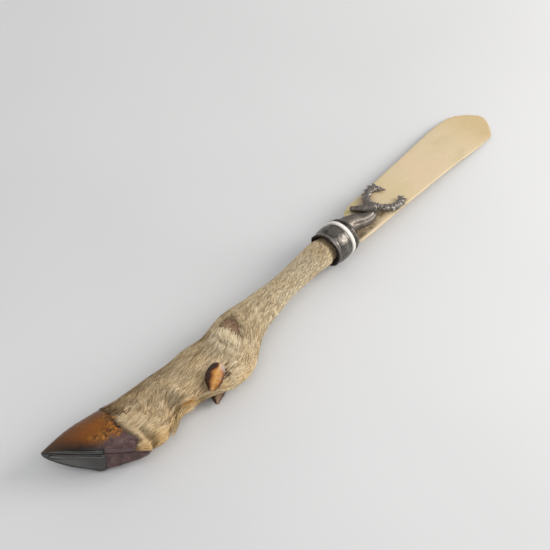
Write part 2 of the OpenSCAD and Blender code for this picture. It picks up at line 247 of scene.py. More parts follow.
class Look:
    """A material and short ways to add its nodes. Patterns are sized in millimetres, and colours are
    given as they show on screen, 0 to 255."""

    def __init__(self, name, shine=0.5, coat=0.0, coat_rough=0.03, metal=0.0):
        self.material = bpy.data.materials.new(name)
        self.material.use_nodes = True
        self.nodes = self.material.node_tree.nodes
        fixed = {"Specular IOR Level": shine, "Coat Weight": coat, "Coat Roughness": coat_rough}
        self.put(self.nodes["Principled BSDF"], {**fixed, "Metallic": metal})
        self.place = self.add("ShaderNodeTexCoord", "Object", {})

    def put(self, node, inputs):
        """Gives a node's inputs a number, a colour or another node's output each."""
        for key, value in inputs.items():
            if isinstance(value, bpy.types.NodeSocket):
                self.material.node_tree.links.new(value, node.inputs[key])
            else:
                node.inputs[key].default_value = srgb(*value) if isinstance(value, tuple) else value

    def add(self, kind, output, inputs, **settings):
        """An output of a new node."""
        node = self.nodes.new(kind)
        for key, value in settings.items():
            setattr(node, key, value)
        self.put(node, inputs)
        return node.outputs[output]

    def clouds(self, size, detail=4, rough=0.55, twist=0, stretch=(1, 1, 1)):
        """Noise with features of about size, drawn out along each axis by stretch."""
        scale = [1 / MM / f for f in stretch]
        at = self.add("ShaderNodeMapping", "Vector", {"Vector": self.place, "Scale": scale})
        kind = {"Detail": detail, "Roughness": rough, "Distortion": twist}
        return self.add("ShaderNodeTexNoise", "Fac", {"Vector": at, "Scale": 1 / size, **kind})

    def mark(self, key):
        return self.add("ShaderNodeAttribute", "Fac", {}, attribute_name=key)

    def ramp(self, factor, *stops):
        """Greys or colours at places from 0 to 1: (place, grey) or (place, red, green, blue)."""
        node = self.nodes.new("ShaderNodeValToRGB")
        elements = node.color_ramp.elements
        for i, (place, *value) in enumerate(stops):
            element = elements[i] if i < 2 else elements.new(place)
            element.position = place
            element.color = srgb(*value) if len(value) == 3 else (*(value * 3), 1)
        self.put(node, {"Fac": factor})
        return node.outputs["Color"]

    def sum(self, kind, *terms):
        return self.add("ShaderNodeMath", "Value", dict(enumerate(terms)), operation=kind)

    def patches(self, key, pattern, *stops):
        """A mark, broken up by a pattern."""
        return self.sum("MULTIPLY", self.mark(key), self.ramp(pattern, *stops))

    def mix(self, factor, a, b):
        return self.add("ShaderNodeMix", "Result", {"Factor": factor, "A": a, "B": b}, data_type="RGBA")

    def bump(self, height, depth, under=None):
        """Relief of about depth millimetres, on top of another relief."""
        below = {"Normal": under} if under else {}
        return self.add("ShaderNodeBump", "Normal", {"Height": height, "Distance": depth * MM, **below})

    def start(self, pattern, *stops):
        self.body = self.ramp(pattern, *stops)

    def over(self, colour, factor, *stops):
        """Lays a colour over the body, by a factor or by a ramp of it."""
        self.body = self.mix(self.ramp(factor, *stops) if stops else factor, self.body, colour)

    def finish(self, pattern, low, high, relief):
        """Ends the material. Its roughness runs from low to high, both (place, value), on a pattern."""
        ends = {"Base Color": self.body, "Roughness": self.ramp(pattern, low, high), "Normal": relief}
        self.put(self.nodes["Principled BSDF"], ends)
        return self.material


def skin_material():
    """Dried skin under the hair: tan, brown where bare, amber where thin."""
    look = Look("skin", 0.35)
    fine = look.clouds(0.8, 5, 0.6, 0, (4, 1, 1))
    look.start(fine, (0.3, 150, 128, 96), (0.75, 210, 188, 152))
    look.over((150, 126, 92), look.clouds(6, 3), (0.4, 0.0), (0.7, 0.5))
    brown = look.clouds(2.2, 5, 0.6, 0.6)
    brown = look.ramp(brown, (0.3, 84, 60, 44), (0.5, 132, 104, 80), (0.72, 158, 132, 106))
    look.over(brown, look.mark("bare"))
    look.over(look.ramp(look.clouds(1.6), (0.3, 150, 92, 26), (0.7, 206, 152, 74)), look.mark("amber"))
    look.over(look.ramp(look.clouds(1.2), (0.3, 30, 20, 14), (0.7, 76, 54, 36)), look.mark("dark"))
    relief = look.bump(look.clouds(2.5, 3), 0.4, look.bump(fine, 0.25))
    return look.finish(fine, (0.3, 0.75), (0.8, 0.45), relief)


def hair_material():
    """Short dry deer hair. tone runs from the darkest lock to the palest, reach from root to tip."""
    look = Look("hair", 0.25)
    tone = look.mark("tone")
    tan = ((0.0, 66, 46, 30), (0.2, 146, 120, 86), (0.45, 206, 184, 148), (0.75, 236, 218, 184))
    gold = ((0.0, 88, 58, 28), (0.25, 178, 134, 76), (0.5, 226, 188, 128), (1.0, 250, 228, 180))
    look.start(tone, *tan, (1.0, 250, 240, 216))
    look.over(look.ramp(tone, *gold), look.mark("warm"))
    # painted shade near the roots, where the locks lie under one another
    look.over((140, 114, 80), look.mark("reach"), (0.0, 0.25), (0.45, 0.0))
    streak = look.clouds(0.3, 3, 0.6, 0, (12, 1, 1))
    look.over((116, 92, 62), streak, (0.35, 0.16), (0.6, 0.0))
    return look.finish(streak, (0.3, 0.75), (0.8, 0.55), look.bump(streak, 0.05))


def pad_colours(look):
    """Mauve-brown dried pad, shared by the heels and the horn that runs into them."""
    body = look.clouds(3.4, 5, 0.55, 0.8)
    body = look.ramp(body, (0.3, 50, 32, 30), (0.52, 88, 60, 57), (0.75, 112, 84, 80))
    grain = look.clouds(0.7)
    return look.mix(look.ramp(grain, (0.3, 0.4), (0.5, 0.0)), body, (60, 42, 42)), grain


def heel_material():
    look = Look("heel_pad", 0.45, 0.15, 0.3)
    look.body, grain = pad_colours(look)
    return look.finish(grain, (0.3, 0.32), (0.8, 0.5), look.bump(grain, 0.08))


def amber_horn_material():
    """Upper claw: clear amber, black at the ground edge with painted shade darkening the wall above it,
    ragged yellow and brown towards the heel.
    """
    look = Look("amber_horn", 0.28, 0.06, 0.15)
    streaks = look.clouds(2.4, 4, 0.55, 1.2, (3, 1.4, 1))
    level = look.sum("MULTIPLY_ADD", streaks, 0.2, look.sum("SUBTRACT", look.mark("level"), 0.1))
    # black ground edge, then painted shade on the lower wall up to the amber middle
    ground = ((0.0, 26, 20, 16), (0.08, 42, 26, 16), (0.17, 84, 46, 12), (0.32, 120, 66, 10))
    upper = ((0.55, 134, 76, 13), (0.78, 116, 68, 18), (0.92, 98, 62, 27), (1.0, 84, 56, 30))
    look.start(level, *ground, *upper)
    look.over((78, 52, 24), look.mark("share"), (0.0, 0.7), (0.12, 0.45), (0.3, 0.0))
    yellow = look.patches("ragged", look.clouds(2.2, 5, 0.62, 1.8), (0.44, 0.0), (0.5, 1.0))
    look.over((168, 112, 38), yellow)
    brown = look.patches("ragged", look.clouds(2.6, 5, 0.6, 1.4), (0.47, 1.0), (0.53, 0.0))
    look.over((58, 28, 18), brown)
    look.over(pad_colours(look)[0], look.mark("heel"))
    fibres = look.clouds(0.5, 4, 0.6, 0, (7, 7, 1.2))
    growth = look.clouds(1.3, 3, 0.5, 0.5, (1, 1, 8))
    relief = look.bump(growth, 0.06, look.bump(fibres, 0.03))
    return look.finish(fibres, (0.3, 0.22), (0.8, 0.4), relief)


def slate_horn_material(name, dark, light):
    """Polished slate-grey horn with a painted sheen, paler in a band along its upper edge."""
    look = Look(name, 0.6, 0.4, 0.1)
    look.start(look.clouds(5, 4, 0.5, 0.8, (2.5, 2.5, 1)), (0.3, *dark), (0.7, *light))
    # painted sheen and highlight line on the polished horn
    look.over((112, 112, 107), look.mark("painted_sheen"))
    look.over(pad_colours(look)[0], look.mark("heel"))
    scratches = look.clouds(0.4, 3, 0.6, 0, (10, 10, 1))
    look.over((104, 100, 92), scratches, (0.6, 0.0), (0.8, 0.12))
    return look.finish(scratches, (0.35, 0.2), (0.8, 0.36), look.bump(scratches, 0.02))


def dewclaw_material(name, rim, middle, light):
    """A dark rim towards the toe, a clear middle, and a painted whitish-mauve highlight towards the leg's
    sole side.
    """
    look = Look(name, 0.3, 0.08, 0.2)
    streaks = look.clouds(1.6, 4, 0.6, 0.8, (1.6, 2.4, 1))
    across = look.sum("MULTIPLY_ADD", streaks, 0.3, look.sum("SUBTRACT", look.mark("across"), 0.15))
    edge = ((0.0, *[c * 0.7 for c in rim]), (0.28, *rim))
    clear = ((0.4, *middle), (0.62, *light), (0.86, *middle), (1.0, *rim))
    look.start(across, *edge, *clear)
    # painted highlight: whitish mauve laid over the horn where the lamp glints
    look.over((190, 184, 188), look.patches("painted_highlight", streaks, (0.35, 0.4), (0.6, 1.0)))
    fine = look.clouds(0.5, 3)
    return look.finish(fine, (0.3, 0.26), (0.8, 0.45), look.bump(fine, 0.05))


def silver_material(name, dark, bright, wear, rough):
    """Tarnished silver: dark where it is sheltered, bright where it is rubbed."""
    look = Look(name, metal=1.0)
    cloud = look.clouds(3.2, 5, 0.6, 0.6)
    look.start(cloud, (0.32, *dark), (0.68, *bright))
    rub = look.add("ShaderNodeNewGeometry", "Pointiness", {})
    pits = look.clouds(0.5, 4, 0.6)
    look.over((200, 194, 188), rub, (0.5, 0.0), (0.58, wear))
    look.over((34, 30, 29), rub, (0.42, 0.7), (0.49, 0.0))
    look.over((40, 36, 34), pits, (0.3, 0.4), (0.42, 0.0))
    relief = look.bump(pits, 0.04, look.bump(cloud, 0.08))
    return look.finish(cloud, (0.3, rough + 0.12), (0.7, rough), relief)


def white_bone_material():
    look = Look("white_bone", 0.5, 0.3, 0.2)
    cloud, lines = look.clouds(2.5), look.clouds(0.4, 3, 0.6)
    look.start(cloud, (0.3, 222, 216, 208), (0.7, 246, 243, 238))
    look.over((160, 140, 118), lines, (0.32, 0.3), (0.42, 0.0))
    return look.finish(cloud, (0.3, 0.35), (0.7, 0.25), look.bump(lines, 0.04))


def blade_material():
    """Aged cream bone: grain along the blade, painted shadow and reflection of the silver mount round the
    mount, yellow stains beside it, specks near the tip.
    """
    look = Look("blade_bone", 0.45, 0.1, 0.35)
    wide = look.clouds(16, 3, 0.5, 0.4, (2.2, 1, 1))
    look.start(wide, (0.3, 196, 180, 142), (0.5, 207, 189, 155), (0.72, 211, 188, 158))
    grain = look.clouds(0.45, 4, 0.6, 0, (26, 1, 1))
    look.over((174, 152, 114), grain, (0.35, 0.22), (0.6, 0.0))
    look.over((194, 168, 122), look.sum("MULTIPLY", look.mark("tip"), 0.7))
    mottle = look.clouds(2.4, 5, 0.62, 1.2)
    # painted shadow and reflection of the silver mount on the bone, dark brown to olive
    painted_shade = look.ramp(mottle, (0.35, 44, 32, 18), (0.7, 98, 76, 44))
    look.over(painted_shade, look.patches("painted_shade", mottle, (0.28, 0.35), (0.6, 1.0)))
    look.over((184, 174, 112), look.patches("yellow", mottle, (0.3, 0.3), (0.6, 0.9)))
    specks = look.clouds(0.6, 2, 0.5)
    look.over((80, 58, 36), look.patches("specks", specks, (0.66, 0.0), (0.72, 1.0)))
    relief = look.bump(grain, 0.05, look.bump(wide, 0.2))
    return look.finish(grain, (0.3, 0.5), (0.8, 0.34), relief)


def rough_material(name, shine, pattern, dark, light, low, high, depth):
    """One pattern for colour, roughness and relief. pattern holds what clouds() takes."""
    look = Look(name, shine)
    cloud = look.clouds(*pattern)
    look.start(cloud, (0.3, *dark), light)
    return look.finish(cloud, (0.3, low), (0.8, high), look.bump(cloud, depth))


def floor_material():
    look = Look("floor", 0.25)
    wide = look.clouds(220, 2, 0.5)
    look.start(wide, (0.35, 211, 212, 214), (0.65, 216, 217, 219))
    return look.finish(wide, (0.3, 0.55), (0.7, 0.65), look.bump(look.clouds(1.4, 3), 0.02))


# ---------------- leg

# Sections of the leg from the hoof to the collar: x, middle y, middle z, half depth, half thickness.
LEG = np.array([
    [-133.3, -0.6, 13.0, 16.6, 12.6], [-126, -2.2, 12.9, 17.4, 12.4], [-117, -1.4, 12.6, 15.4, 12.0],
    [-109, 0, 12.2, 13.3, 11.6], [-100, -1.8, 11.9, 14.0, 11.2], [-91, -3, 11.7, 14.2, 11.0],
    [-80, -5.4, 11.6, 16.9, 11.0], [-74, -7, 11.6, 17.2, 11.2], [-68, -8, 11.7, 16.8, 11.4],
    [-60, -6.4, 11.7, 16.6, 11.5], [-52, -3.6, 11.7, 14.9, 11.3], [-46, -2, 11.8, 12.9, 10.8],
    [-38, -1.3, 11.9, 10.7, 9.8], [-27, -1, 12.0, 9.2, 8.6], [-14, -1, 12.1, 7.6, 7.6],
    [-1, -1, 12.3, 7.4, 7.4], [10, -1.2, 12.7, 7.7, 7.7], [21, -1.6, 12.9, 8.0, 8.0],
    [31, -1.8, 12.5, 7.8, 7.8],
])
# The same past the coronet, over the top of the claws, where hair reaches over the horn.
FRINGE = np.array([[-150, 6, 13, 12.4, 10.4], [-142, 3, 13, 15.4, 11.8], [-137, 0.8, 13, 16.4, 12.4]])
HAIRLINE = np.concatenate([FRINGE, LEG])
CORONET_X = -133.3
COLLAR_MOUTH_X = 23.5
SKIN_UNDER_HAIR = 0.55
# How far a lock's root lies under the skin, and the rest of it under the coat's surface.
ROOT_SINK, HAIR_SINK = 0.3, 0.2
HIDE_THICKNESS = 1.5
LEG_RINGS, LEG_SIDES = 340, 132

# Places on the leg: x and the angle round it in degrees, 0 towards the front and 90 up.
BALD, BALD_HALF = (-54.8, 76.0), (6.6, 30)
SLIT, SLIT_HALF, SLIT_SLANT = (-104.0, 166.0), (4.2, 6.5), 0.9
# The same along the skin's rolled edge, each with the edge's thickness.
SKIN_EDGE = [
    (-76, 200, 0.4), (-82, 184, 0.9), (-88, 172, 1.2), (-94, 164, 1.2), (-100, 162, 1.1),
    (-104, 164, 0.9), (-108, 169, 0.3),
]
# How far past the coronet the hair reaches at each angle, in millimetres.
HAIR_REACH = np.array([
    [0, 3.0], [30, 3.6], [47, 4.5], [58, 5.3], [75, 7.2], [89, 8.2], [103, 7.8], [120, 6.6],
    [139, 5.0], [147, 6.4], [154, 8.8], [166, 10.3], [173, 7.5], [179, 4.4], [185, 1.6],
    [193, -0.8], [210, -1.6], [228, 0.2], [250, 3.6], [300, 4.0], [330, 3.2], [360, 3.0],
])
# Routes hold rows of a middle, a half width and a half height.
UPPER_DEWCLAW = [
    [-76, -10, 17, 2.8, 2.3], [-80, -13, 19, 4.6, 3.5], [-84.5, -16, 20, 5, 3.5],
    [-88.5, -18.4, 19.6, 4, 2.8], [-91.6, -20, 18.6, 1.8, 1.3],
]
LOWER_DEWCLAW = [
    [-74, -9, 6.5, 3.2, 2.6], [-77.5, -12, 5, 4.6, 3.6], [-81.5, -14.8, 4.3, 4.8, 3.4],
    [-85, -17.4, 3.8, 3.2, 2.6], [-88, -20.2, 3.4, 0.9, 0.8],
]


def leg_relief(x, turn):
    """How far the leg stands in or out of its plain section: furrows, folds and tendons."""
    deg = degrees(turn)
    furrows = 1.6 * bell(deg, 180, 13) + bell(np.minimum(deg, 360 - deg), 0, 11)
    out = -furrows * (1 - ease(-122, -98, x))
    for middle, share in ((152, 1.0), (208, 1.0), (34, 0.4), (326, 0.4)):
        out = out - 0.55 * share * bell(deg, middle, 12) * ease(-46, -30, x) * (1 - ease(8, 22, x))
    past_fold = deg - (157 + (x + 92) * 0.45)
    out = out + 1.1 * bell(past_fold, 0, 6) * ease(-122, -108, x) * (1 - ease(-94, -88, x))
    return out - 0.8 * bell(past_fold, 13, 7) * ease(-116, -108, x) * (1 - ease(-96, -90, x))


def leg_point(x, turn, lift):
    """A point on the leg's surface, lifted off it."""
    x, turn = np.asarray(x, float), np.asarray(turn, float)
    yc, zc, deep, thick = np.moveaxis(spline(HAIRLINE, x), -1, 0)
    out = lift + leg_relief(x, turn)
    return np.stack([x, yc + (deep + out) * np.cos(turn), zc + (thick + out) * np.sin(turn)], -1)


def near_spot(x, turn, spot, half):
    """Distance from a spot on the leg, 1 at the rim of an oval round it."""
    return np.hypot((x - spot[0]) / half[0], (degrees(turn) - spot[1]) / half[1])


def bald_share(x, turn):
    wobble = turbulence(leg_point(x, turn, 0), 3.0, 3)
    return 1 - ease(0.8, 1.15, near_spot(x, turn, BALD, BALD_HALF) + 0.4 * wobble)


def slit_share(x, turn):
    along = x - SLIT[0]
    across = bell(degrees(turn), SLIT[1] - along * SLIT_SLANT, SLIT_HALF[1])
    return np.exp(-((along / SLIT_HALF[0]) ** 4)) * across


def skin_edge(material):
    """The rolled edge of the skin that runs from the dewclaws to the slit."""
    x, deg, size = np.array(SKIN_EDGE, float).T
    middles = leg_point(x, np.radians(deg), 0.15)
    rings = swept(np.column_stack([middles, size, size * 0.8]), 20, 80)
    rings = rings + outward(rings) * (0.16 * turbulence(rings, 1.5, 3))[..., None]
    points, faces = loft(rings)
    nothing = np.zeros(len(points))
    marks = {"bare": nothing, "amber": 1 - ease(-102, -98, points[:, 0]), "dark": nothing}
    piece("skin_edge", points, faces, material, "hide", (), marks)


def leg_skin(material):
    x, turn = np.meshgrid(
        np.linspace(CORONET_X, LEG[-1, 0], LEG_RINGS), full_turn(LEG_SIDES), indexing="ij"
    )
    plain = leg_point(x, turn, 0)
    bald, slit = bald_share(x, turn), slit_share(x, turn)
    lift = -SKIN_UNDER_HAIR + 0.3 * turbulence(plain, 7, 3) + 0.1 * turbulence(plain, 1.6, 2)
    lift = lift + 0.25 * bald * (0.4 + turbulence(plain, 2.4, 3)) - 0.5 * slit
    lift = np.where(x > COLLAR_MOUTH_X, -SKIN_UNDER_HAIR, lift)
    inside = leg_point(x, turn, -SKIN_UNDER_HAIR - HIDE_THICKNESS)
    points, faces = tube_shell(leg_point(x, turn, lift), inside)
    dark = ease(16, 24, x) * 0.6 + (1 - ease(-133, -129, x))
    marks = {"bare": bald, "amber": slit, "dark": dark}
    marks = {key: np.concatenate([share.ravel(), np.zeros(x.size)]) for key, share in marks.items()}
    piece("leg_skin", points, faces, material, "hide", ["hide"], marks)


# ---------------- claws

TOE = np.array([-174.3, 21.5])
CORONET_FRONT = np.array([-134.0, 16.4])
HEEL_GROUND = np.array([-142.0, -13.2])
HEEL_TOP = np.array([-133.5, -17.2])
DORSAL_BULGE, HEEL_BULGE, SOLE_BULGE, SKIRT = 2.2, 2.6, 1.2, 2.0
CORONET_WIDTH = 12.4
WALL = 1.5
CLEFT_Z, CLEFT_GAP = 13.0, 0.6
HEEL_START, HEEL_SLANT = 0.66, 0.14
WALL_LEVELS, SOLE_LEVELS, DOME_RINGS, HEEL_LEVELS = 64, 12, 13, 50
OUTER_SIDES, INNER_SIDES, HEEL_SIDES = 120, 60, 90
SOLEWARD = np.array([-0.72, -0.69, 0.0])
# A claw: its name, its side of the cleft, its width on the ground and how far its toe lifts.
UPPER = ("upper", 1, 7.5, 2.2)
LOWER = ("lower", -1, 12.4, -2.2)


def claw_arc(t, claw, inset, turns):
    """One level of a claw, as in the CAD source, at turns round its outline in radians."""
    ground_width, lift = claw[2:]
    t = np.asarray(t, float)[..., None]
    bulge = np.sin(math.pi * t)
    front = TOE + (CORONET_FRONT - TOE) * t + np.array([0, DORSAL_BULGE]) * bulge
    back = HEEL_GROUND + (HEEL_TOP - HEEL_GROUND) * t - np.array([0, HEEL_BULGE]) * bulge
    along = (back - front) / np.linalg.norm(back - front, axis=-1, keepdims=True)
    front = front + along * inset * 2.2
    back = back - along * inset
    width = ground_width + (CORONET_WIDTH - ground_width) * np.sin(math.pi / 2 * t) - inset
    s = (1 - np.cos(turns)) / 2
    out = np.clip(np.sin(turns), 0, None) ** 0.8 * (0.8 + 0.2 * np.sin(math.pi * s))
    out = out * (1 - 0.35 * (1 - t) * (1 - s))
    across = np.stack([along[..., 1], -along[..., 0]], -1)
    push = (1 - t) * (SOLE_BULGE * np.sin(math.pi * s) + SKIRT * out)
    plan = front[..., None, :] + (back - front)[..., None, :] * s[..., None]
    plan = plan + across[..., None, :] * push[..., None]
    height = inset + (width - inset) * out + lift * (1 - t) * (1 - s) ** 1.5
    return np.concatenate([plan, height[..., None]], -1)


def claw_place(points, claw):
    points = np.array(points, float)
    points[..., 2] = CLEFT_Z + claw[1] * (CLEFT_GAP / 2 + points[..., 2])
    return points


def claw_piece(claw, name, rings, material, slot, node, marks=None):
    points, faces = loft(claw_place(rings, claw))
    if claw is LOWER:
        faces = [tuple(reversed(f)) for f in faces]
    side = claw[0]
    piece(f"{side}_{name}", points, faces, material, slot, [f"{side}_{node}"], marks)


def heel_edge(t):
    """The share of a claw's outline, from toe to heel, at which the horn ends."""
    return HEEL_START + HEEL_SLANT * t


def heel_turn(t):
    return np.arccos(1 - 2 * heel_edge(t))


def claw_skin(t, claw, turns):
    """The worn outside of a claw at one level: the horn and the heel share it, so they meet."""
    plain = claw_arc(t, claw, 0, turns)
    ends = claw_arc(t, claw, 0, np.array([0.0, math.pi]))
    away = plain - ends.mean(0) - np.array([0, 0, 0.45 * claw[2]])
    away /= np.linalg.norm(away, axis=1, keepdims=True)
    share = (1 - np.cos(turns)) / 2
    edge = heel_edge(t)
    soft = np.clip(np.sin(turns) * 2.5, 0, 1)
    horn = 1 - ease(edge - 0.12, edge, share)
    ridge = 0.06 * math.sin(t * 70 + 1.3 * math.sin(t * 9)) * float(ease(0.04, 0.2, t))
    dents = 0.2 * turbulence(plain, 7, 2) + 0.04 * turbulence(plain, 1.4, 2)
    lumps = 0.3 * turbulence(plain, 4, 2) + 0.1 * turbulence(plain, 1.2, 2)
    crease = 0.4 * bell(t - 0.4, 0.1 * np.sin(share * 9), 0.05)
    push = horn * (ridge + dents) + (1 - horn) * (lumps - crease) * ease(edge, edge + 0.1, share)
    if claw is LOWER:
        push = push + 1.5 * bell(share - edge, -0.05, 0.07) * (1 - ease(0.02, 0.14, t))
    return plain + away * (push * soft)[:, None]


def claw_wall(claw, material):
    """The horn slipper: growth ridges, a worn ground edge and small dents."""
    rings, level, share = [], [], []
    for t in np.linspace(0, 1, WALL_LEVELS):
        reach = heel_turn(t)
        outer = np.linspace(-reach, reach, OUTER_SIDES)
        inner = np.linspace(reach, -reach, INNER_SIDES)
        rings.append(np.concatenate([claw_skin(t, claw, outer), claw_arc(t, claw, WALL, inner)]))
        turns = np.concatenate([outer, inner])
        level.append(np.full(len(turns), t))
        share.append((1 - np.cos(turns)) / 2)
    points = loft(claw_place(rings, claw))[0]
    level, share = with_ends(level), with_ends(share)
    back = share + 0.12 * (1 - level) + 0.05 * turbulence(points, 3.2, 3)
    ragged = ease(0.6, 0.84, level) * ease(0.16, 0.36, share)
    ragged += 0.9 * bell(back, 0.59, 0.11) * ease(0.15, 0.35, level)
    marks = {
        "level": level,
        "share": share,
        "ragged": np.clip(ragged, 0, 1),
        "heel": ease(0.65, 0.72, back) * ease(0.03, 0.12, level),
        # painted sheen in a band along the middle of the wall
        "painted_sheen": 0.35 * bell(level, 0.5, 0.3),
    }
    claw_piece(claw, "claw_wall", rings, material, "amber_horn", "hoof_wall", marks)


def claw_sole(claw, material):
    """The ground face inside the wall, domed outwards."""
    rings, across, share = [], [], []
    for t in np.linspace(0.0, 0.14, SOLE_LEVELS):
        reach = heel_turn(t) - math.radians(1)
        turns = np.linspace(-reach, reach, OUTER_SIDES)
        rings.append(claw_arc(t + 0.012, claw, WALL + 0.02, turns))
        across.append(np.clip(np.sin(turns), 0, 1))
        share.append((1 - np.cos(turns)) / 2)
    ground = rings[0]
    middle = (ground + ground[::-1]) / 2
    heelward = share[0] / share[0].max()
    face, face_across = [], []
    for f in np.linspace(1, 0, DOME_RINGS + 1)[:-1]:
        ring = ground + (middle - ground) * f
        push = 1.5 * math.sin(math.pi / 2 * f) ** 0.7 * (1 - 0.5 * ease(0.8, 1.0, heelward))
        push = push + 0.5 * bell(heelward, 0.93, 0.06) + 0.04 * turbulence(ring, 4, 2)
        face.append(ring + SOLEWARD * push[:, None])
        face_across.append(across[0] * (1 - f) + across[0].mean() * f)
    across = with_ends(face_across + across)
    share = with_ends([share[0]] * len(face) + share)
    # painted sheen, broad towards the toe, with a thin painted highlight line along the edge
    painted_sheen = 0.36 * bell(across, 0.3, 0.28) * (1 - ease(0.3, 0.6, share)) + 0.16 * bell(across, 0, 0.06)
    marks = {"painted_sheen": painted_sheen, "heel": 0 * share}
    claw_piece(claw, "claw_sole", face + rings, material, "dark_horn", "sole", marks)


def heel_bulb(claw, material):
    """The soft pad behind the horn, with shallow creases."""
    rings = []
    for t in np.linspace(0.03, 1, HEEL_LEVELS):
        reach = heel_turn(t)
        rings.append(claw_skin(t, claw, np.linspace(reach, 2 * math.pi - reach, HEEL_SIDES)))
    claw_piece(claw, "heel_pad", rings, material, "heel_pad", "heel_bulb")


def dewclaw(side, route, colours):
    name = f"{side}_dewclaw_horn"
    sides = 40
    rings = swept(route, sides, 44)
    along = np.linspace(0, 1, len(rings))[:, None]
    push = 0.08 * np.sin(along * 46) * ease(0.2, 0.5, along)
    push = push + 0.25 * turbulence(rings, 3, 2) + 0.07 * turbulence(rings, 0.9, 2)
    points, faces = loft(rings + outward(rings) * push[..., None])
    across = np.repeat((np.cos(full_turn(sides))[None] + 1) / 2, len(rings), 0)
    across = across - 0.42 * (1 - ease(0.34, 0.56, along)) * (1 - ease(0.55, 0.85, across))
    # where the painted highlight lies on the dewclaw
    painted_highlight = (1 - ease(0.3, 0.55, along)) * ease(0.4, 0.7, across) * ease(0.1, 0.25, along)
    marks = {"across": with_ends(across), "painted_highlight": with_ends(painted_highlight)}
    material = dewclaw_material(name, *colours)
    piece(name, points, faces, material, "dewclaw_horn", [f"{side}_dewclaw"], marks)


# ---------------- hair

# Where the hair changes from the foot's longer coat to the shaft's short one.
SHAFT_START, SHAFT_END = -50, -20
COVER_STEP, COVER_ANGLES = 0.5, 72
COVER_PLACES = np.arange(-151, -130, COVER_STEP)


def horn_cover():
    """How far the claws stand out of the leg's sections past the coronet: a table by place and angle."""
    table = np.full((len(COVER_PLACES), COVER_ANGLES), np.nan)
    turns = np.linspace(0, 2 * math.pi, 400)
    for claw in (UPPER, LOWER):
        at = claw_place(claw_arc(np.linspace(0, 1, 160), claw, 0, turns), claw)
        yc, zc, deep, thick = np.moveaxis(spline(HAIRLINE, at[..., 0]), -1, 0)
        dy, dz = at[..., 1] - yc, at[..., 2] - zc
        away = np.hypot(dy, dz)
        turn = np.arctan2(dz / thick, dy / deep) % (2 * math.pi)
        out = away - away / np.hypot(dy / deep, dz / thick) - leg_relief(at[..., 0], turn)
        i = np.round((at[..., 0] - COVER_PLACES[0]) / COVER_STEP).astype(int)
        k = (turn / (2 * math.pi) * COVER_ANGLES).astype(int) % COVER_ANGLES
        fits = (i >= 0) & (i < len(COVER_PLACES))
        np.fmax.at(table, (i[fits], k[fits]), out[fits])
    # places that no claw reaches take the mean of those beside them
    for _ in range(12):
        beside = [np.roll(table, 1, 1), np.roll(table, -1, 1), np.vstack([table[1:], table[-1:]])]
        known = (~np.isnan(beside)).sum(0)
        mean = np.nansum(beside, 0) / np.maximum(known, 1)
        table = np.where(np.isnan(table) & (known > 0), mean, table)
    table = np.clip(np.nan_to_num(table), -1.5, 5)
    return table * (1 - ease(-134.5, -132.5, COVER_PLACES))[:, None]


COVER = horn_cover()


def over_horn(x, turn):
    """The table's value at any place and angle."""
    i = np.clip((x - COVER_PLACES[0]) / COVER_STEP, 0, len(COVER_PLACES) - 1.001)
    k = (turn / (2 * math.pi) * COVER_ANGLES - 0.5) % COVER_ANGLES
    i0, k0 = i.astype(int), k.astype(int)
    a, b = i - i0, k - k0
    k0, k1 = k0 % COVER_ANGLES, (k0 + 1) % COVER_ANGLES
    near, far = (COVER[row, k0] * (1 - b) + COVER[row, k1] * b for row in (i0, i0 + 1))
    return np.where(x < -131, near * (1 - a) + far * a, 0)


# Stations along a lock: share of its length, share of its width, share of its rise.
LOCK = ((0.0, 0.7, 0.0), (0.45, 1.0, 0.35), (1.0, 0.0, 1.0))
LONG_LOCK = ((0.0, 0.7, 0.0), (0.3, 1.0, 0.2), (0.55, 1.0, 0.4), (0.8, 0.75, 0.7), (1.0, 0.0, 1.0))


def locks(name, material, stations, x, turn, length, drift, width, thick, rise, tone, warm):
    """A piece of tapered, slightly flattened locks of hair lying along the leg, as closed spikes with
    three sides.

    Each starts under the skin at x and turn, and runs towards the hoof. drift is how far it turns
    towards the sole, in millimetres, and rise how far its tip stands off."""
    radius = spline(HAIRLINE, x)[:, 2:].mean(1)
    rings, reach = [], []
    for share, wide, lift in stations:
        at = x - length * share
        around = turn + drift / radius * share
        up = rise * lift - (SKIN_UNDER_HAIR + ROOT_SINK if share == 0 else HAIR_SINK)
        middle = leg_point(at, around, up + over_horn(at, around % (2 * math.pi)))
        out, side = turned(0, 1, around), turned(0, 1, around + math.pi / 2)
        side = side * (width * wide / 2)[:, None]
        ring = np.stack([middle - side, middle + side, middle + out * (thick * wide)[:, None]], 1)
        rings.append(ring if wide else ring[:, :1])
        reach.append(np.full(rings[-1].shape[:2], share))
    points = np.concatenate(rings, 1).reshape(-1, 3)
    last = 3 * (len(stations) - 1)
    shape = [(2, 1, 0), *quads(len(stations) - 1, 3)]
    shape += [(last - 3, last - 2, last), (last - 2, last - 1, last), (last - 1, last - 3, last)]
    each = last + 1
    base = np.arange(len(x))[:, None] * each
    faces = [tuple(f) for corners in shape for f in (base + np.array(corners)).tolist()]
    marks = {
        "tone": np.repeat(np.clip(tone, 0, 1), each),
        "warm": np.repeat(warm, each),
        "reach": np.concatenate(reach, 1),
    }
    piece(name, points, faces, material, "hide", (), marks, None)


def hair_reach(turn):
    return np.interp(degrees(turn), *HAIR_REACH.T)


def clear_of_dewclaws(x, turn):
    """Where hair may grow: not under a dewclaw."""
    at = leg_point(x, turn, 0)
    keep = np.ones(len(x), bool)
    for route in (UPPER_DEWCLAW, LOWER_DEWCLAW):
        route = np.array(route, float)
        for (*a, radius, _), b in zip(route[:-1], route[1:, :3]):
            along = b - a
            t = np.clip((at - a) @ along / (along @ along), 0, 1)
            keep &= np.linalg.norm(at - (a + t[:, None] * along), axis=1) > radius * 0.8
    return keep


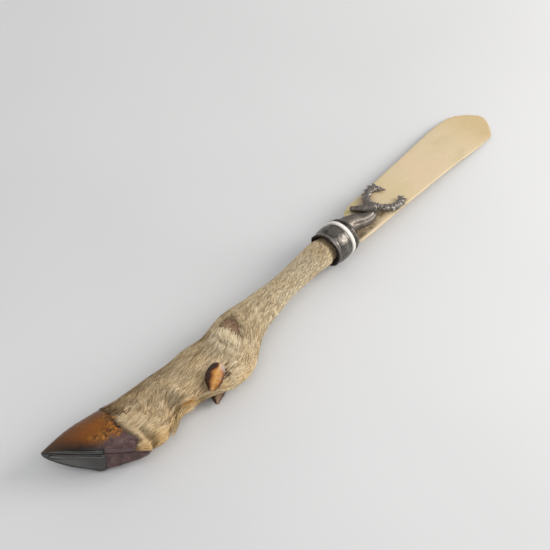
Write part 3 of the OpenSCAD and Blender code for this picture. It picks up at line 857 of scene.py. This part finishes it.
def hair_tone(x, turn):
    """Paler and darker hair: painted shade along the front, the side turned from the key lamp, and darker
    near the collar, streaked all over.
    """
    at = leg_point(x, turn, 0)
    deg = degrees(turn)
    plain = ease(SHAFT_START, SHAFT_END, x)
    tone = 0.47 + (0.2 - 0.12 * plain) * turbulence(at * [0.22, 1, 1], 1.5, 3)
    tone += 0.08 * turbulence(at, 12, 2) + 0.12 * ease(-100, -70, x) + 0.28 * plain
    # painted shade along the front, turned from the key lamp; darker near the collar
    tone -= 0.14 * bell(deg, 35, 32) + 0.2 * ease(12, 24, x) * bell(deg, 95, 34)
    tone -= 0.55 * bell(near_spot(x, turn, (-133, 48), (5.5, 20)), 0, 1)
    few_dark = rng.uniform(0, 1, len(x)) < 0.06 + 0.03 * plain
    return tone + rng.normal(0, 0.1, len(x)) - 0.36 * few_dark


def hair_warmth(x, turn):
    """Golden hair along the sole side of the pastern, greyer on the fetlock's top."""
    sole = bell(degrees(turn), 176, 34) * (0.2 + 0.8 * (1 - ease(-100, -60, x)))
    return np.clip(0.08 + 0.75 * sole + 0.25 * turbulence(leg_point(x, turn, 0), 8, 2), 0, 1)


def coat(name, start_x, end_x, count, material, length=(8.5, 14.5), stations=LOCK, wide=1.0):
    """Hair all round the leg between two places, shorter on the shaft and kept off bare skin."""
    x = rng.uniform(start_x, end_x, count * 2)
    x = x[rng.uniform(0, 17, len(x)) < spline(LEG, x)[:, 2:].mean(1)][:count]
    turn = rng.uniform(0, 2 * math.pi, len(x))
    keep = clear_of_dewclaws(x, turn) & clear_of_dewclaws(x - 4, turn)
    keep &= bald_share(x, turn) < rng.uniform(0.25, 0.6, len(x))
    keep &= slit_share(x - 2, turn) < 0.35
    x, turn = x[keep], turn[keep]
    shaft = ease(SHAFT_START, SHAFT_END, x)
    long = rng.uniform(*length, len(x)) * (1 - 0.45 * shaft)
    ragged = 0.9 * turbulence(turned(0, 5, turn), 1.2, 2)
    tip_limit = CORONET_X - hair_reach(turn) + ragged + rng.uniform(-0.7, 0.9, len(x))
    long = np.minimum(long, x - tip_limit)
    for ahead in (10, 8, 6, 4, 2):
        over = bald_share(x - ahead, turn) > rng.uniform(0.3, 0.8, len(x))
        long = np.where(over, np.minimum(long, ahead + rng.uniform(0, 1.5, len(x))), long)
    keep = long > 1.2
    x, turn, long, shaft = x[keep], turn[keep], long[keep], shaft[keep]
    flow = turbulence(leg_point(x, turn, 0) * [0.2, 1, 1], 2.2, 2)
    slant = np.radians(19 + 9 * flow + rng.normal(0, 5, len(x)) - 7 * shaft)
    drift = long * np.tan(slant) * np.sin(turn)
    past_bald = bald_share(x + 2.5, turn) > 0.5
    rise = rng.uniform(-0.05, 0.3, len(x)) + 0.35 * past_bald
    width = rng.uniform(0.2, 0.44, len(x)) * wide * (1 - 0.3 * shaft)
    thick = rng.uniform(0.1, 0.2, len(x))
    tone = hair_tone(x, turn) + 0.25 * past_bald
    warm = hair_warmth(x, turn)
    locks(name, material, stations, x, turn, long, drift, width, thick, rise, tone, warm)


def tuft(name, x, deg, spread_x, spread_deg, count, long, out, tone, warm, material):
    """Loose longer locks that stand off the leg."""
    at = rng.normal(x, spread_x, count)
    turn = np.radians(rng.normal(deg, spread_deg, count))
    length = rng.uniform(0.65, 1.0, count) * long
    length = np.minimum(length, at - CORONET_X + hair_reach(turn) + 1)
    keep = length > 1
    at, turn, length = at[keep], turn[keep], length[keep]
    count = len(at)
    drift = length * np.tan(np.radians(rng.normal(14, 8, count))) * np.sin(turn)
    width, thick = rng.uniform(0.25, 0.5, count), rng.uniform(0.12, 0.25, count)
    rise = rng.uniform(0.5, 1.0, count) * out
    tone, warm = rng.normal(tone, 0.12, count), np.full(count, warm)
    locks(name, material, LONG_LOCK, at, turn, length, drift, width, thick, rise, tone, warm)


# ---------------- collar

BARREL_R, LIP_R, BORE_R = 10.9, 9.75, 9.2
RING_W, RING_R = 2.2, 11.0
BARREL_FRONT, BARREL_BACK, MOUTH = -RING_W / 2, -11.0, -11.5
BARREL_SWELL, LIP_HALF = 0.8, 0.5
BEAD_R = 0.45
CAP_START = RING_W / 2 + 4 * BEAD_R + 0.06
CAP_END = 5.6
TANG_HALF_W, TANG_HALF_T = 6.0, 1.0
TANG_HOLE_R = 6.4
ROUND_SIDES, MASTIC_SIDES = 180, 160


def collar_piece(name, profile, dents, dent_size, material, slot, node):
    points, faces = lathe(profile, dents, dent_size)
    piece(name, points, faces, material, slot, [node])


def collar_barrel(material):
    turns = np.linspace(0, math.pi, 30)
    along = BARREL_FRONT + (BARREL_BACK - BARREL_FRONT) * turns / math.pi
    radius = BARREL_R - BARREL_SWELL * (1 - np.sin(turns))
    for line in (BARREL_FRONT - 1.0, BARREL_BACK + 1.2):
        radius = radius - 0.22 * bell(along, line, 0.3)
    inside = [[LIP_R + 0.1, MOUTH], [BORE_R, MOUTH], [BORE_R, BARREL_FRONT]]
    profile = np.concatenate([np.column_stack([radius, along]), inside])
    collar_piece("collar_barrel", profile, 0.12, 5.0, material, "collar_silver", "collar")


def collar_rim(material):
    turns = full_turn(18)
    profile = np.column_stack([LIP_R + LIP_HALF * np.cos(turns), MOUTH + LIP_HALF * (np.sin(turns) - 1)])
    collar_piece("collar_rim", profile, 0.14, 3.0, material, "collar_silver", "collar_lip")


def white_ring(material):
    half, edge = RING_W / 2 - 0.02, RING_R - 0.2
    outline = [[TANG_HOLE_R, -half], [edge, -half], [RING_R + 0.05, 0], [edge, half], [TANG_HOLE_R, half]]
    collar_piece("white_ring", rounded(outline, 0.15), 0.04, 3.0, material, "white_bone", "bone_ring")


def beads(material):
    """Two thin rings of fine beading with a flat washer inside them."""
    made = []
    turns = np.linspace(-2.2, 2.2, 12)
    for radius, at in ((RING_R - 0.5, BEAD_R), (RING_R - 0.8, 3 * BEAD_R + 0.02)):
        at += RING_W / 2
        bead = np.column_stack([radius + BEAD_R * np.cos(turns), at + BEAD_R * np.sin(turns)])
        washer = [[TANG_HOLE_R, at + BEAD_R * 0.8], [TANG_HOLE_R, at - BEAD_R * 0.8]]
        made.append(lathe(np.concatenate([bead, washer]), 0.04, 2.0))
    piece("bead_pair", *gathered(made), material, "collar_silver", ["bead_rings"])


def cap(material):
    """The front cap, with its slot for the tang."""
    turn = full_turn(ROUND_SIDES)
    half_w, half_t = TANG_HALF_W + 0.03, TANG_HALF_T + 0.03
    slot = 1 / np.maximum(np.abs(np.cos(turn)) / half_w, np.abs(np.sin(turn)) / half_t)
    outline = [
        [RING_R - 0.7, CAP_START], [RING_R - 0.55, CAP_START + 0.8], [RING_R - 1.0, CAP_END - 0.6],
        [RING_R - 1.7, CAP_END],
    ]
    rings = np.array([turned(at, radius, turn) for radius, at in rounded(outline, 0.3, 4)])
    rings = rings + turned(0, 0.06 * turbulence(rings, 3, 2), turn)
    walls = [turned(at, slot, turn) for at in (CAP_END, CAP_START)]
    rings = np.concatenate([rings, walls])
    faces = [(b, a, d, c) for a, b, c, d in quads(len(rings), ROUND_SIDES, True)]
    piece("front_cap", knife(rings.reshape(-1, 3)), faces, material, "collar_silver", ["end_cap"])


def mastic(material):
    """Dark filling round the leg in the collar's mouth, squeezed out at the top towards the front."""
    turn = full_turn(MASTIC_SIDES)
    section = [
        (7.9, -4.0), (9.1, -4.0), (9.12, -9.5), (9.12, MOUTH), (9.0, MOUTH - 0.7), (8.5, MOUTH - 1.0),
        (7.9, MOUTH - 0.5),
    ]
    rings = np.array([turned(at, radius, turn) for radius, at in section])
    loose = np.array([0, 0, 0, 0.2, 1, 1.2, 0.8])[:, None]
    rough = turbulence(rings, 1.5, 3) + 0.5 * turbulence(rings, 0.6, 2)
    squeezed = bell(np.degrees(turn), 28, 20) + 0.35 * bell(np.degrees(turn), 95, 30)
    rings[..., 0] -= loose * (0.5 * rough + 1.9 * squeezed - 0.3)
    rings[..., 1:] *= (1 + 0.16 * squeezed * ease(0.5, 1, loose))[..., None]
    faces = quads(len(section), MASTIC_SIDES, True)
    piece("mastic", knife(rings.reshape(-1, 3)), faces, material, "mastic", ["cement_filling"])


# ---------------- blade

# Outline of the blade: distance from the white ring, and how far it reaches to each side.
BLADE_RIGHT = [
    [5.7, -11], [8, -11.6], [20, -12], [50, -12.2], [72, -12.6], [94, -13.1], [117, -14.5],
    [128.6, -14.0], [132.9, -10.4], [136.6, -5.9], [139, -1.2],
]
BLADE_LEFT = [
    [5.7, 6.2], [13, 6.8], [15.6, 8], [17.5, 9.5], [21, 10.7], [24, 11.2], [46, 11.9], [68, 13.2],
    [88, 14.2], [105, 15.2], [115, 15.2], [123, 14.2], [128, 12.2], [134, 7.6], [138, 2.6], [139, -1.2],
]
BLADE_THICK = [[5.6, 2.4], [40, 2.4], [110, 1.65], [138.4, 1.0], [139, 0.5]]
# How far the underside lies below the knife's axis at the collar and at the tip.
ROOT_LOW, TIP_LOW = 1.2, 0.5
BLADE_RINGS, BLADE_SIDES = 300, 72
# Chips in the two edges: distance, depth and half length.
RIGHT_CHIPS = ((132.6, 0.9, 0.5), (136.2, 1.2, 0.35), (121.0, 0.4, 0.8))
LEFT_CHIPS = ((136.8, 0.9, 0.3), (99.0, 0.35, 0.7))
# Dark painted shadow and reflection of the silver mount, then yellow stains: how strong, and the middle
# and half size along and across the blade.
PAINTED_MOUNT_SHADE = (
    (0.95, 30, 6, -6.6, 2.8), (0.5, 33, 5, 4.5, 3.5), (0.5, 41, 6, -10.5, 2.5), (0.7, 20, 7, 3.2, 2.6),
)
YELLOW_STAINS = ((1, 17.5, 4.5, 8.6, 2.6), (0.9, 27, 4, 9.8, 2.4))


def shade_and_stain_spots(u, v, spots):
    return sum(much * bell(u, at, long) * bell(v, side, wide) for much, at, long, side, wide in spots)


def blade_piece(material):
    """The blade with rounded edges, a slight wave and small chips at its tip."""
    share = np.linspace(0, 1, BLADE_RINGS)
    at = CAP_END + 0.1 + (BLADE_REACH - CAP_END - 0.1) * np.sin(share * math.pi / 2) ** 0.9
    at[-1] = BLADE_REACH
    right, left, thick = (
        np.interp(at, *np.array(table).T) for table in (BLADE_RIGHT, BLADE_LEFT, BLADE_THICK)
    )
    knock = 0.16 * turbulence(np.stack([at, 0 * at, 0 * at], -1), 5, 3) * ease(8, 20, at)
    left = left - np.abs(knock)
    right = right + np.abs(knock[::-1])
    right = right + sum(deep * bell(at, place, wide) for place, deep, wide in RIGHT_CHIPS)
    left = left - sum(deep * bell(at, place, wide) for place, deep, wide in LEFT_CHIPS)
    toward_tip = np.clip((at - CAP_END) / (BLADE_REACH + 1 - CAP_END), 0, 1)
    low = -(ROOT_LOW + (TIP_LOW - ROOT_LOW) * toward_tip)
    turns = full_turn(BLADE_SIDES)
    c, s = np.cos(turns), np.sin(turns)
    rings = []
    for u, r, l, t, floor in zip(at, right, left, thick, low):
        half = max((l - r) / 2, 0.02)
        edge = min(t * 0.5, half)
        v = (l + r) / 2 + (np.sign(c) * (np.abs(c) ** 0.6) * (half - edge) + c * edge)
        w = floor + t / 2 + np.sign(s) * np.abs(s) ** 0.35 * t / 2
        rings.append(np.stack([np.full(len(turns), u), v, w], -1))
    rings = np.array(rings)
    upper = rings[..., 2] > low[:, None] + thick[:, None] / 2
    rings[..., 2] += np.where(upper, 0.05 * turbulence(rings, 12, 2), 0)
    points, faces = loft(rings)
    u, v = points[:, 0], points[:, 1]
    top = ease(-0.4, 0.2, points[:, 2])
    # painted shade of the neck on the blade, along the neck's right side
    sheltered = 1.2 * np.exp(-(((u - 13) / 11) ** 4)) * ease(-11.6, -9.4, v) * (1 - ease(-4, -1.5, v))
    marks = {
        "painted_shade": np.clip(sheltered + shade_and_stain_spots(u, v, PAINTED_MOUNT_SHADE), 0, 1) * top,
        "yellow": np.clip(shade_and_stain_spots(u, v, YELLOW_STAINS) + 0.35 * bell(u, 50, 8), 0, 1) * top,
        "tip": ease(104, 136, u),
        "specks": ease(118, 132, u),
    }
    faces = [tuple(reversed(f)) for f in faces]
    piece("blade_body", mount(points), faces, material, "blade_bone", ["blade"], marks)


# ---------------- stag mount

FACE_UNDER = 1.25
ANTLER_SIDES, ANTLER_RINGS, PEARLS, BURR_PEARLS = 28, 90, 70, 11
TINE_BEND = np.array([0.5, 0, 0.1])
HEAD_VOXEL, ANTLER_VOXEL = 0.22, 0.17
NECK = [
    [5.3, 0.6, 1.2, 6.2, 7.6], [9, 0.5, 1.2, 5.9, 6.8], [14, -0.6, 1.2, 5.3, 5.6],
    [18, -2.4, 1.2, 4.9, 4.7], [22, -3.7, 1.2, 4, 4.2], [26, -4, 1.2, 3, 4],
    [29, -3.4, 1.2, 1.4, 3.6],
]
HEAD = [
    [31, -4, 4.4, 0.8, 0.8], [30, -3.2, 4.4, 2.4, 2.1], [28.2, -1.6, 4.4, 3.1, 2.6],
    [25.8, 0.6, 4.2, 3, 2.6], [23.4, 3, 3.8, 2.3, 2.1], [21.6, 5.2, 3.4, 1.7, 1.6],
    [20.4, 6.9, 3.1, 1.4, 1.4], [19.9, 7.6, 3, 0.7, 0.7],
]
# Egg-shaped lumps on the head: middle, half size and turn in degrees.
LUMPS = (
    ([28.0, 1.0, 5.7], [2.2, 1.2, 1.0], 128),  # brow
    ([25.4, 0.6, 3.9], [3.0, 1.6, 1.9], 132),  # cheek and jaw
    ([20.7, 6.9, 4.0], [1.3, 1.2, 0.9], 130),  # nose
    ([21.6, 5.4, 2.5], [1.5, 0.9, 0.9], 130),  # chin
    ([30.2, -1.6, 5.4], [1.3, 1.8, 1.0], 100),  # crown between the antlers
)
# Hollows pressed into the head: middle, half size and depth.
HOLLOWS = (
    ([26.4, 3.3, 5.6], [0.6, 0.6, 0.9], 0.5),  # eye socket
    ([24.0, 1.5, 5.2], [2.6, 0.7, 2.2], 0.3),  # cheek
    ([20.4, 7.6, 3.8], [0.4, 0.4, 0.6], 0.4),  # nostril
    ([21.2, 5.9, 3.2], [1.4, 0.35, 0.5], 0.3),  # mouth
)
JAW_LINE = [(18.2, 5.0), (20.4, 1.9), (22.4, -0.9), (24.6, -3.0), (27.0, -4.4)]
MANE_LINE = [(10, -3.4), (14, -4.4), (17, -5.3), (20, -6.0), (23, -6.2), (26, -5.6), (28, -4.4)]
# Furrows in the casting: line, half width and depth.
FURROWS = ((JAW_LINE, 0.8, 1.1), (MANE_LINE, 0.45, 0.5))
EARS = [
    [
        [28.4, 0.2, 6, 1.0, 0.5], [28, 1.7, 6.5, 1.5, 0.6], [27.4, 3.1, 6.7, 1.1, 0.5],
        [26.9, 4.3, 6.6, 0.25, 0.2],
    ],
    [
        [29.6, -4.6, 5.4, 0.9, 0.5], [30.6, -5.8, 5.6, 1.3, 0.5], [31.8, -6.9, 5.6, 0.9, 0.4],
        [32.8, -7.8, 5.4, 0.25, 0.2],
    ],
]
LEFT_ANTLER = [
    [29.8, 0.2, 5, 1.3, 1.2], [30.8, 3.2, 4.2, 1.7, 1.4], [33.2, 5.8, 3.4, 1.9, 1.5],
    [37, 7.6, 3, 2, 1.5], [40.6, 8.4, 2.9, 2, 1.5], [43.2, 7.4, 2.9, 1.7, 1.4],
    [44.9, 4.8, 3, 1.2, 1], [46.2, 1.9, 3.2, 0.3, 0.3],
]
LEFT_TINES = [
    [[32, 5, 3.6], [30.2, 7.6, 3.8]], [[34.6, 6.8, 3.2], [33.2, 9.8, 3.4]],
    [[38, 8, 3], [37, 11, 3.4]], [[41.4, 8.6, 3], [40.8, 11.6, 3.6]], [[43, 7.6, 3], [44.4, 10.6, 3.8]],
]
RIGHT_ANTLER = [
    [30.4, -2.8, 5, 1.4, 1.3], [32.6, -5.4, 4.2, 1.9, 1.5], [35.8, -8, 3.4, 2.1, 1.6],
    [39.5, -9.8, 3, 2.2, 1.6], [43.2, -10.2, 2.9, 2.1, 1.5], [45.9, -8.9, 3, 1.6, 1.2],
    [47, -6, 3.2, 0.4, 0.4],
]
RIGHT_TINES = [
    [[36.4, -8.6, 3.2], [35.6, -11.8, 3.4]], [[39.5, -10, 3], [39.2, -13.2, 3.4]],
    [[43.2, -10.4, 3], [43.6, -13.6, 3.6]], [[45.2, -9.8, 3], [47.8, -12, 3.6]],
    [[46, -8.6, 3], [48.9, -8.6, 3.4]],
]


def gathered(parts):
    """Several closed skins as one list of points and faces."""
    points, faces, count = [], [], 0
    for p, f in parts:
        points.append(p)
        faces += [tuple(i + count for i in face) for face in f]
        count += len(p)
    return np.concatenate(points), faces


def blob(centre, half, turn_deg=0.0, sides=20):
    """A small closed egg, its long axis turned in the plane of the blade."""
    up = np.linspace(-math.pi / 2, math.pi / 2, sides // 2 + 1)[1:-1, None]
    turn = full_turn(sides)
    ring = [np.cos(up) * np.cos(turn), np.cos(up) * np.sin(turn), np.repeat(np.sin(up), sides, 1)]
    a = math.radians(turn_deg)
    spin = np.array([[math.cos(a), math.sin(a), 0], [-math.sin(a), math.cos(a), 0], [0, 0, 1]])
    return loft((np.stack(ring, -1) * half) @ spin + np.array(centre))


def fused(parts, hollows, furrows, voxel, smooth):
    """Joins closed skins into one sculpted surface, presses hollows into it, and stops it at the blade."""
    points, faces = gathered(parts)
    mesh = bpy.data.meshes.new("clay")
    mesh.from_pydata(points.tolist(), [], faces)
    clay = bpy.data.objects.new("clay", mesh)
    bpy.context.scene.collection.objects.link(clay)
    remesh = clay.modifiers.new("fuse", "REMESH")
    remesh.mode = "VOXEL"
    remesh.voxel_size = voxel
    soften = clay.modifiers.new("soften", "SMOOTH")
    soften.factor = 0.5
    soften.iterations = smooth
    graph = bpy.context.evaluated_depsgraph_get()
    done = bpy.data.meshes.new_from_object(clay.evaluated_get(graph))
    bpy.data.objects.remove(clay)
    co, normal = np.zeros((2, len(done.vertices) * 3))
    done.vertices.foreach_get("co", co)
    done.vertices.foreach_get("normal", normal)
    co, normal = co.reshape(-1, 3), normal.reshape(-1, 3)
    for centre, half, deep in hollows:
        near = np.exp(-((((co - centre) / half) ** 2).sum(1)))
        co = co - normal * (deep * near)[:, None]
    upper = np.clip(normal[:, 2] * 1.5, 0, 1)
    for line, half, deep in furrows:
        line = np.array(line, float)
        away = np.full(len(co), np.inf)
        for a, b in zip(line[:-1], line[1:]):
            t = np.clip((co[:, :2] - a) @ (b - a) / ((b - a) @ (b - a)), 0, 1)
            away = np.minimum(away, np.linalg.norm(co[:, :2] - a - t[:, None] * (b - a), axis=1))
        co[:, 2] -= deep * upper * bell(away, 0, half)
    co[:, 2] = np.maximum(co[:, 2], FACE_UNDER)
    return mount(co), [tuple(p.vertices) for p in done.polygons]


def stag(material):
    """Neck and head as one casting: jaw, brow, eyes, nostrils, mouth and the groove under the jaw."""
    parts = [loft(swept(NECK, 40, 60)), loft(swept(HEAD, 32, 60)), *[blob(*lump) for lump in LUMPS]]
    points, faces = fused(parts, HOLLOWS, FURROWS, HEAD_VOXEL, 5)
    piece("stag_bust", points, faces, material, "mount_silver", ["stag_head"], None, None)


def eyes(material):
    points, faces = blob([26.5, 2.9, 5.6], [0.55, 0.42, 0.42], 130, 24)
    piece("stag_eye", mount(points), faces, material, "mount_silver", ())


def ears(material):
    """Leaf-shaped ears, each hollow on its upper side."""
    parts = []
    for route in EARS:
        rings = swept(route, 24, 30)
        middle = rings.mean(1, keepdims=True)[..., 2]
        up = rings[..., 2] - middle
        rings[..., 2] = np.where(up > 0, middle - up * 0.2, rings[..., 2])
        parts.append(loft(rings))
    points, faces = gathered(parts)
    piece("stag_ear_pair", mount(points), faces, material, "mount_silver", ["stag_ears"])


def antler(name, beam, tines, seed, material, node):
    """A gnarled beam with a burr, pearls and tines, fused into one casting."""
    grown = np.random.default_rng(seed)
    rings = swept(beam, ANTLER_SIDES, ANTLER_RINGS)
    spiral = np.linspace(0, 46, len(rings))[:, None] + 2 * np.sin(full_turn(ANTLER_SIDES))
    gnarl = 0.28 * turbulence(rings, 1.4, 3) + 0.14 * np.sin(spiral)
    thick = np.linalg.norm(rings - rings.mean(1, keepdims=True), axis=-1)
    rings = rings + outward(rings) * (gnarl * ease(0.05, 0.6, thick))[..., None]
    parts = [loft(rings)]
    for root, tip in np.array(tines, float):
        bend = (root + tip) / 2 + TINE_BEND
        route = [[*root, 1.25, 1.0], [*bend, 1.15, 0.8], [*tip, 0.35, 0.3]]
        parts.append(loft(swept(route, 18, 24)))
    middle = rings.mean(1)
    for _ in range(PEARLS):
        i, k = grown.integers(6, len(rings) - 16), grown.integers(0, ANTLER_SIDES)
        spot = middle[i] + (rings[i, k] - middle[i]) * 0.95
        if spot[2] >= FACE_UNDER + 0.3:
            size = grown.uniform(0.28, 0.52)
            parts.append(blob(spot, [size, size, size * 0.9], 0, 10))
    for a in full_turn(BURR_PEARLS):
        out = rings[4, int(a / (2 * math.pi) * ANTLER_SIDES)] - middle[4]
        parts.append(blob(middle[4] + out * 1.25, [0.5, 0.5, 0.45], 0, 10))
    points, faces = fused(parts, [], [], ANTLER_VOXEL, 2)
    piece(name, points, faces, material, "mount_silver", [node], None, None)


# ---------------- stage

WORLD_STRENGTH = 0.62
KEY_POWER = 6.5
FILL_POWER = 2.0
FLOOR_HALF = 2.4
CAMERA_PLACE = Vector((-0.49190, -0.39690, 0.76600))
CAMERA_TARGET = Vector((0.00050, 0.01630, 0.0))
LENS, SENSOR = 117.94, 36.0


def aimed(name, data, place, target):
    """An object at a place in metres that looks towards a target."""
    obj = bpy.data.objects.new(name, data)
    obj.location = place
    obj.rotation_mode = "QUATERNION"
    obj.rotation_quaternion = (Vector(target) - Vector(place)).to_track_quat("-Z", "Y")
    bpy.context.scene.collection.objects.link(obj)
    return obj


def lamp(name, place, size, power, colour):
    data = bpy.data.lights.new(name, "AREA")
    data.shape = "DISK"
    data.size = size
    data.energy = power
    data.color = colour
    aimed(name, data, place, (0, 0, 0))


def studio():
    mesh = bpy.data.meshes.new("floor")
    half = FLOOR_HALF
    corners = [(-half, -half, 0), (half, -half, 0), (half, half, 0), (-half, half, 0)]
    mesh.from_pydata(corners, [], [(0, 1, 2, 3)])
    mesh.materials.append(floor_material())
    floor = bpy.data.objects.new("floor", mesh)
    bpy.context.scene.collection.objects.link(floor)
    world = bpy.data.worlds.new("studio")
    bpy.context.scene.world = world
    world.use_nodes = True
    sky = world.node_tree.nodes["Background"]
    sky.inputs["Color"].default_value = (1.0, 0.99, 0.975, 1)
    sky.inputs["Strength"].default_value = WORLD_STRENGTH
    lamp("key", (0.62, -0.50, 0.42), 0.55, KEY_POWER, (1.0, 0.97, 0.92))
    lamp("fill", (-0.5, -0.3, 0.9), 0.9, FILL_POWER, (0.97, 0.98, 1.0))


def camera():
    data = bpy.data.cameras.new("camera")
    data.lens = LENS
    data.sensor_width = SENSOR
    data.clip_start, data.clip_end = 0.05, 20
    bpy.context.scene.camera = aimed("camera", data, CAMERA_PLACE, CAMERA_TARGET)


# ---------------- build

camera()
studio()
bpy.context.scene.view_settings.view_transform = "Standard"

hair = hair_material()
skin = skin_material()
leg_skin(skin)
skin_edge(skin)
coat("coat_fringe", CORONET_X, -125, 9000, hair, (8, 19), LONG_LOCK)
coat("coat_pastern", CORONET_X, -97, 18500, hair)
coat("coat_fetlock", -99, -64, 18500, hair)
coat("coat_shaft", -66, COLLAR_MOUTH_X, 19500, hair, (9, 15), LOCK, 0.85)
tuft("tuft_heel", -106, 197, 3.2, 6, 460, 11, 3.0, 0.66, 0.7, hair)
tuft("tuft_coronet", -130.5, 50, 1.6, 13, 260, 9, 0.8, 0.12, 0.0, hair)
tuft("tuft_knee", -58.5, 82, 1.0, 15, 200, 9, 1.0, 0.8, 0.1, hair)
tuft("tuft_dewclaw", -76.2, 133, 0.7, 8, 40, 5, 0.8, 0.05, 0.0, hair)

pad = heel_material()
claw_wall(UPPER, amber_horn_material())
claw_wall(LOWER, slate_horn_material("slate_horn", (28, 26, 25), (52, 49, 46)))
claw_sole(UPPER, slate_horn_material("black_sole", (16, 15, 14), (36, 35, 33)))
claw_sole(LOWER, slate_horn_material("grey_sole", (34, 32, 30), (54, 51, 48)))
heel_bulb(UPPER, pad)
heel_bulb(LOWER, pad)
# The colours of a dewclaw's rim, its middle and its lightest streak.
dewclaw("upper", UPPER_DEWCLAW, ((66, 32, 14), (166, 104, 40), (206, 158, 90)))
dewclaw("lower", LOWER_DEWCLAW, ((70, 48, 32), (128, 100, 76), (156, 132, 106)))

silver = silver_material("collar_silver", (52, 49, 46), (128, 123, 117), 0.5, 0.3)
cast = silver_material("mount_silver", (90, 84, 79), (134, 126, 119), 0.5, 0.46)
horned = silver_material("antler_silver", (88, 83, 79), (150, 143, 138), 0.6, 0.42)
collar_barrel(silver)
collar_rim(silver)
white_ring(white_bone_material())
beads(silver)
cap(silver)
mastic(rough_material("mastic", 0.3, (0.9, 5, 0.65), (14, 12, 11), (0.75, 54, 44, 36), 0.9, 0.6, 0.4))
blade_piece(blade_material())
stag(cast)
eyes(cast)
ears(cast)
antler("antler_left", LEFT_ANTLER, LEFT_TINES, 11, horned, "left_antler")
antler("antler_right", RIGHT_ANTLER, RIGHT_TINES, 12, horned, "right_antler")

bone = rough_material("inner_bone", 0.3, (2.4, 5), (196, 180, 148), (0.7, 226, 214, 188), 0.6, 0.45, 0.15)
fibre = (0.4, 4, 0.6, 0, (14, 1, 1))
tendon = rough_material("tendon", 0.35, fibre, (150, 118, 70), (0.7, 206, 180, 128), 0.6, 0.4, 0.15)
# CAD nodes that stay inside the visible pieces, with their materials.
TOE_BONES = ("first_phalanx", "second_phalanx", "pedal_bone")
BONES = ["cannon_bone", "sesamoid_bones"]
BONES += [f"{claw[0]}_{toe_bone}" for toe_bone in TOE_BONES for claw in (UPPER, LOWER)]
for node, material in [("flexor_tendon", tendon), ("mount_peg", cast), *[(b, bone) for b in BONES]]:
    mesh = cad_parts[node].data
    mesh.materials.clear()
    mesh.materials.append(material)
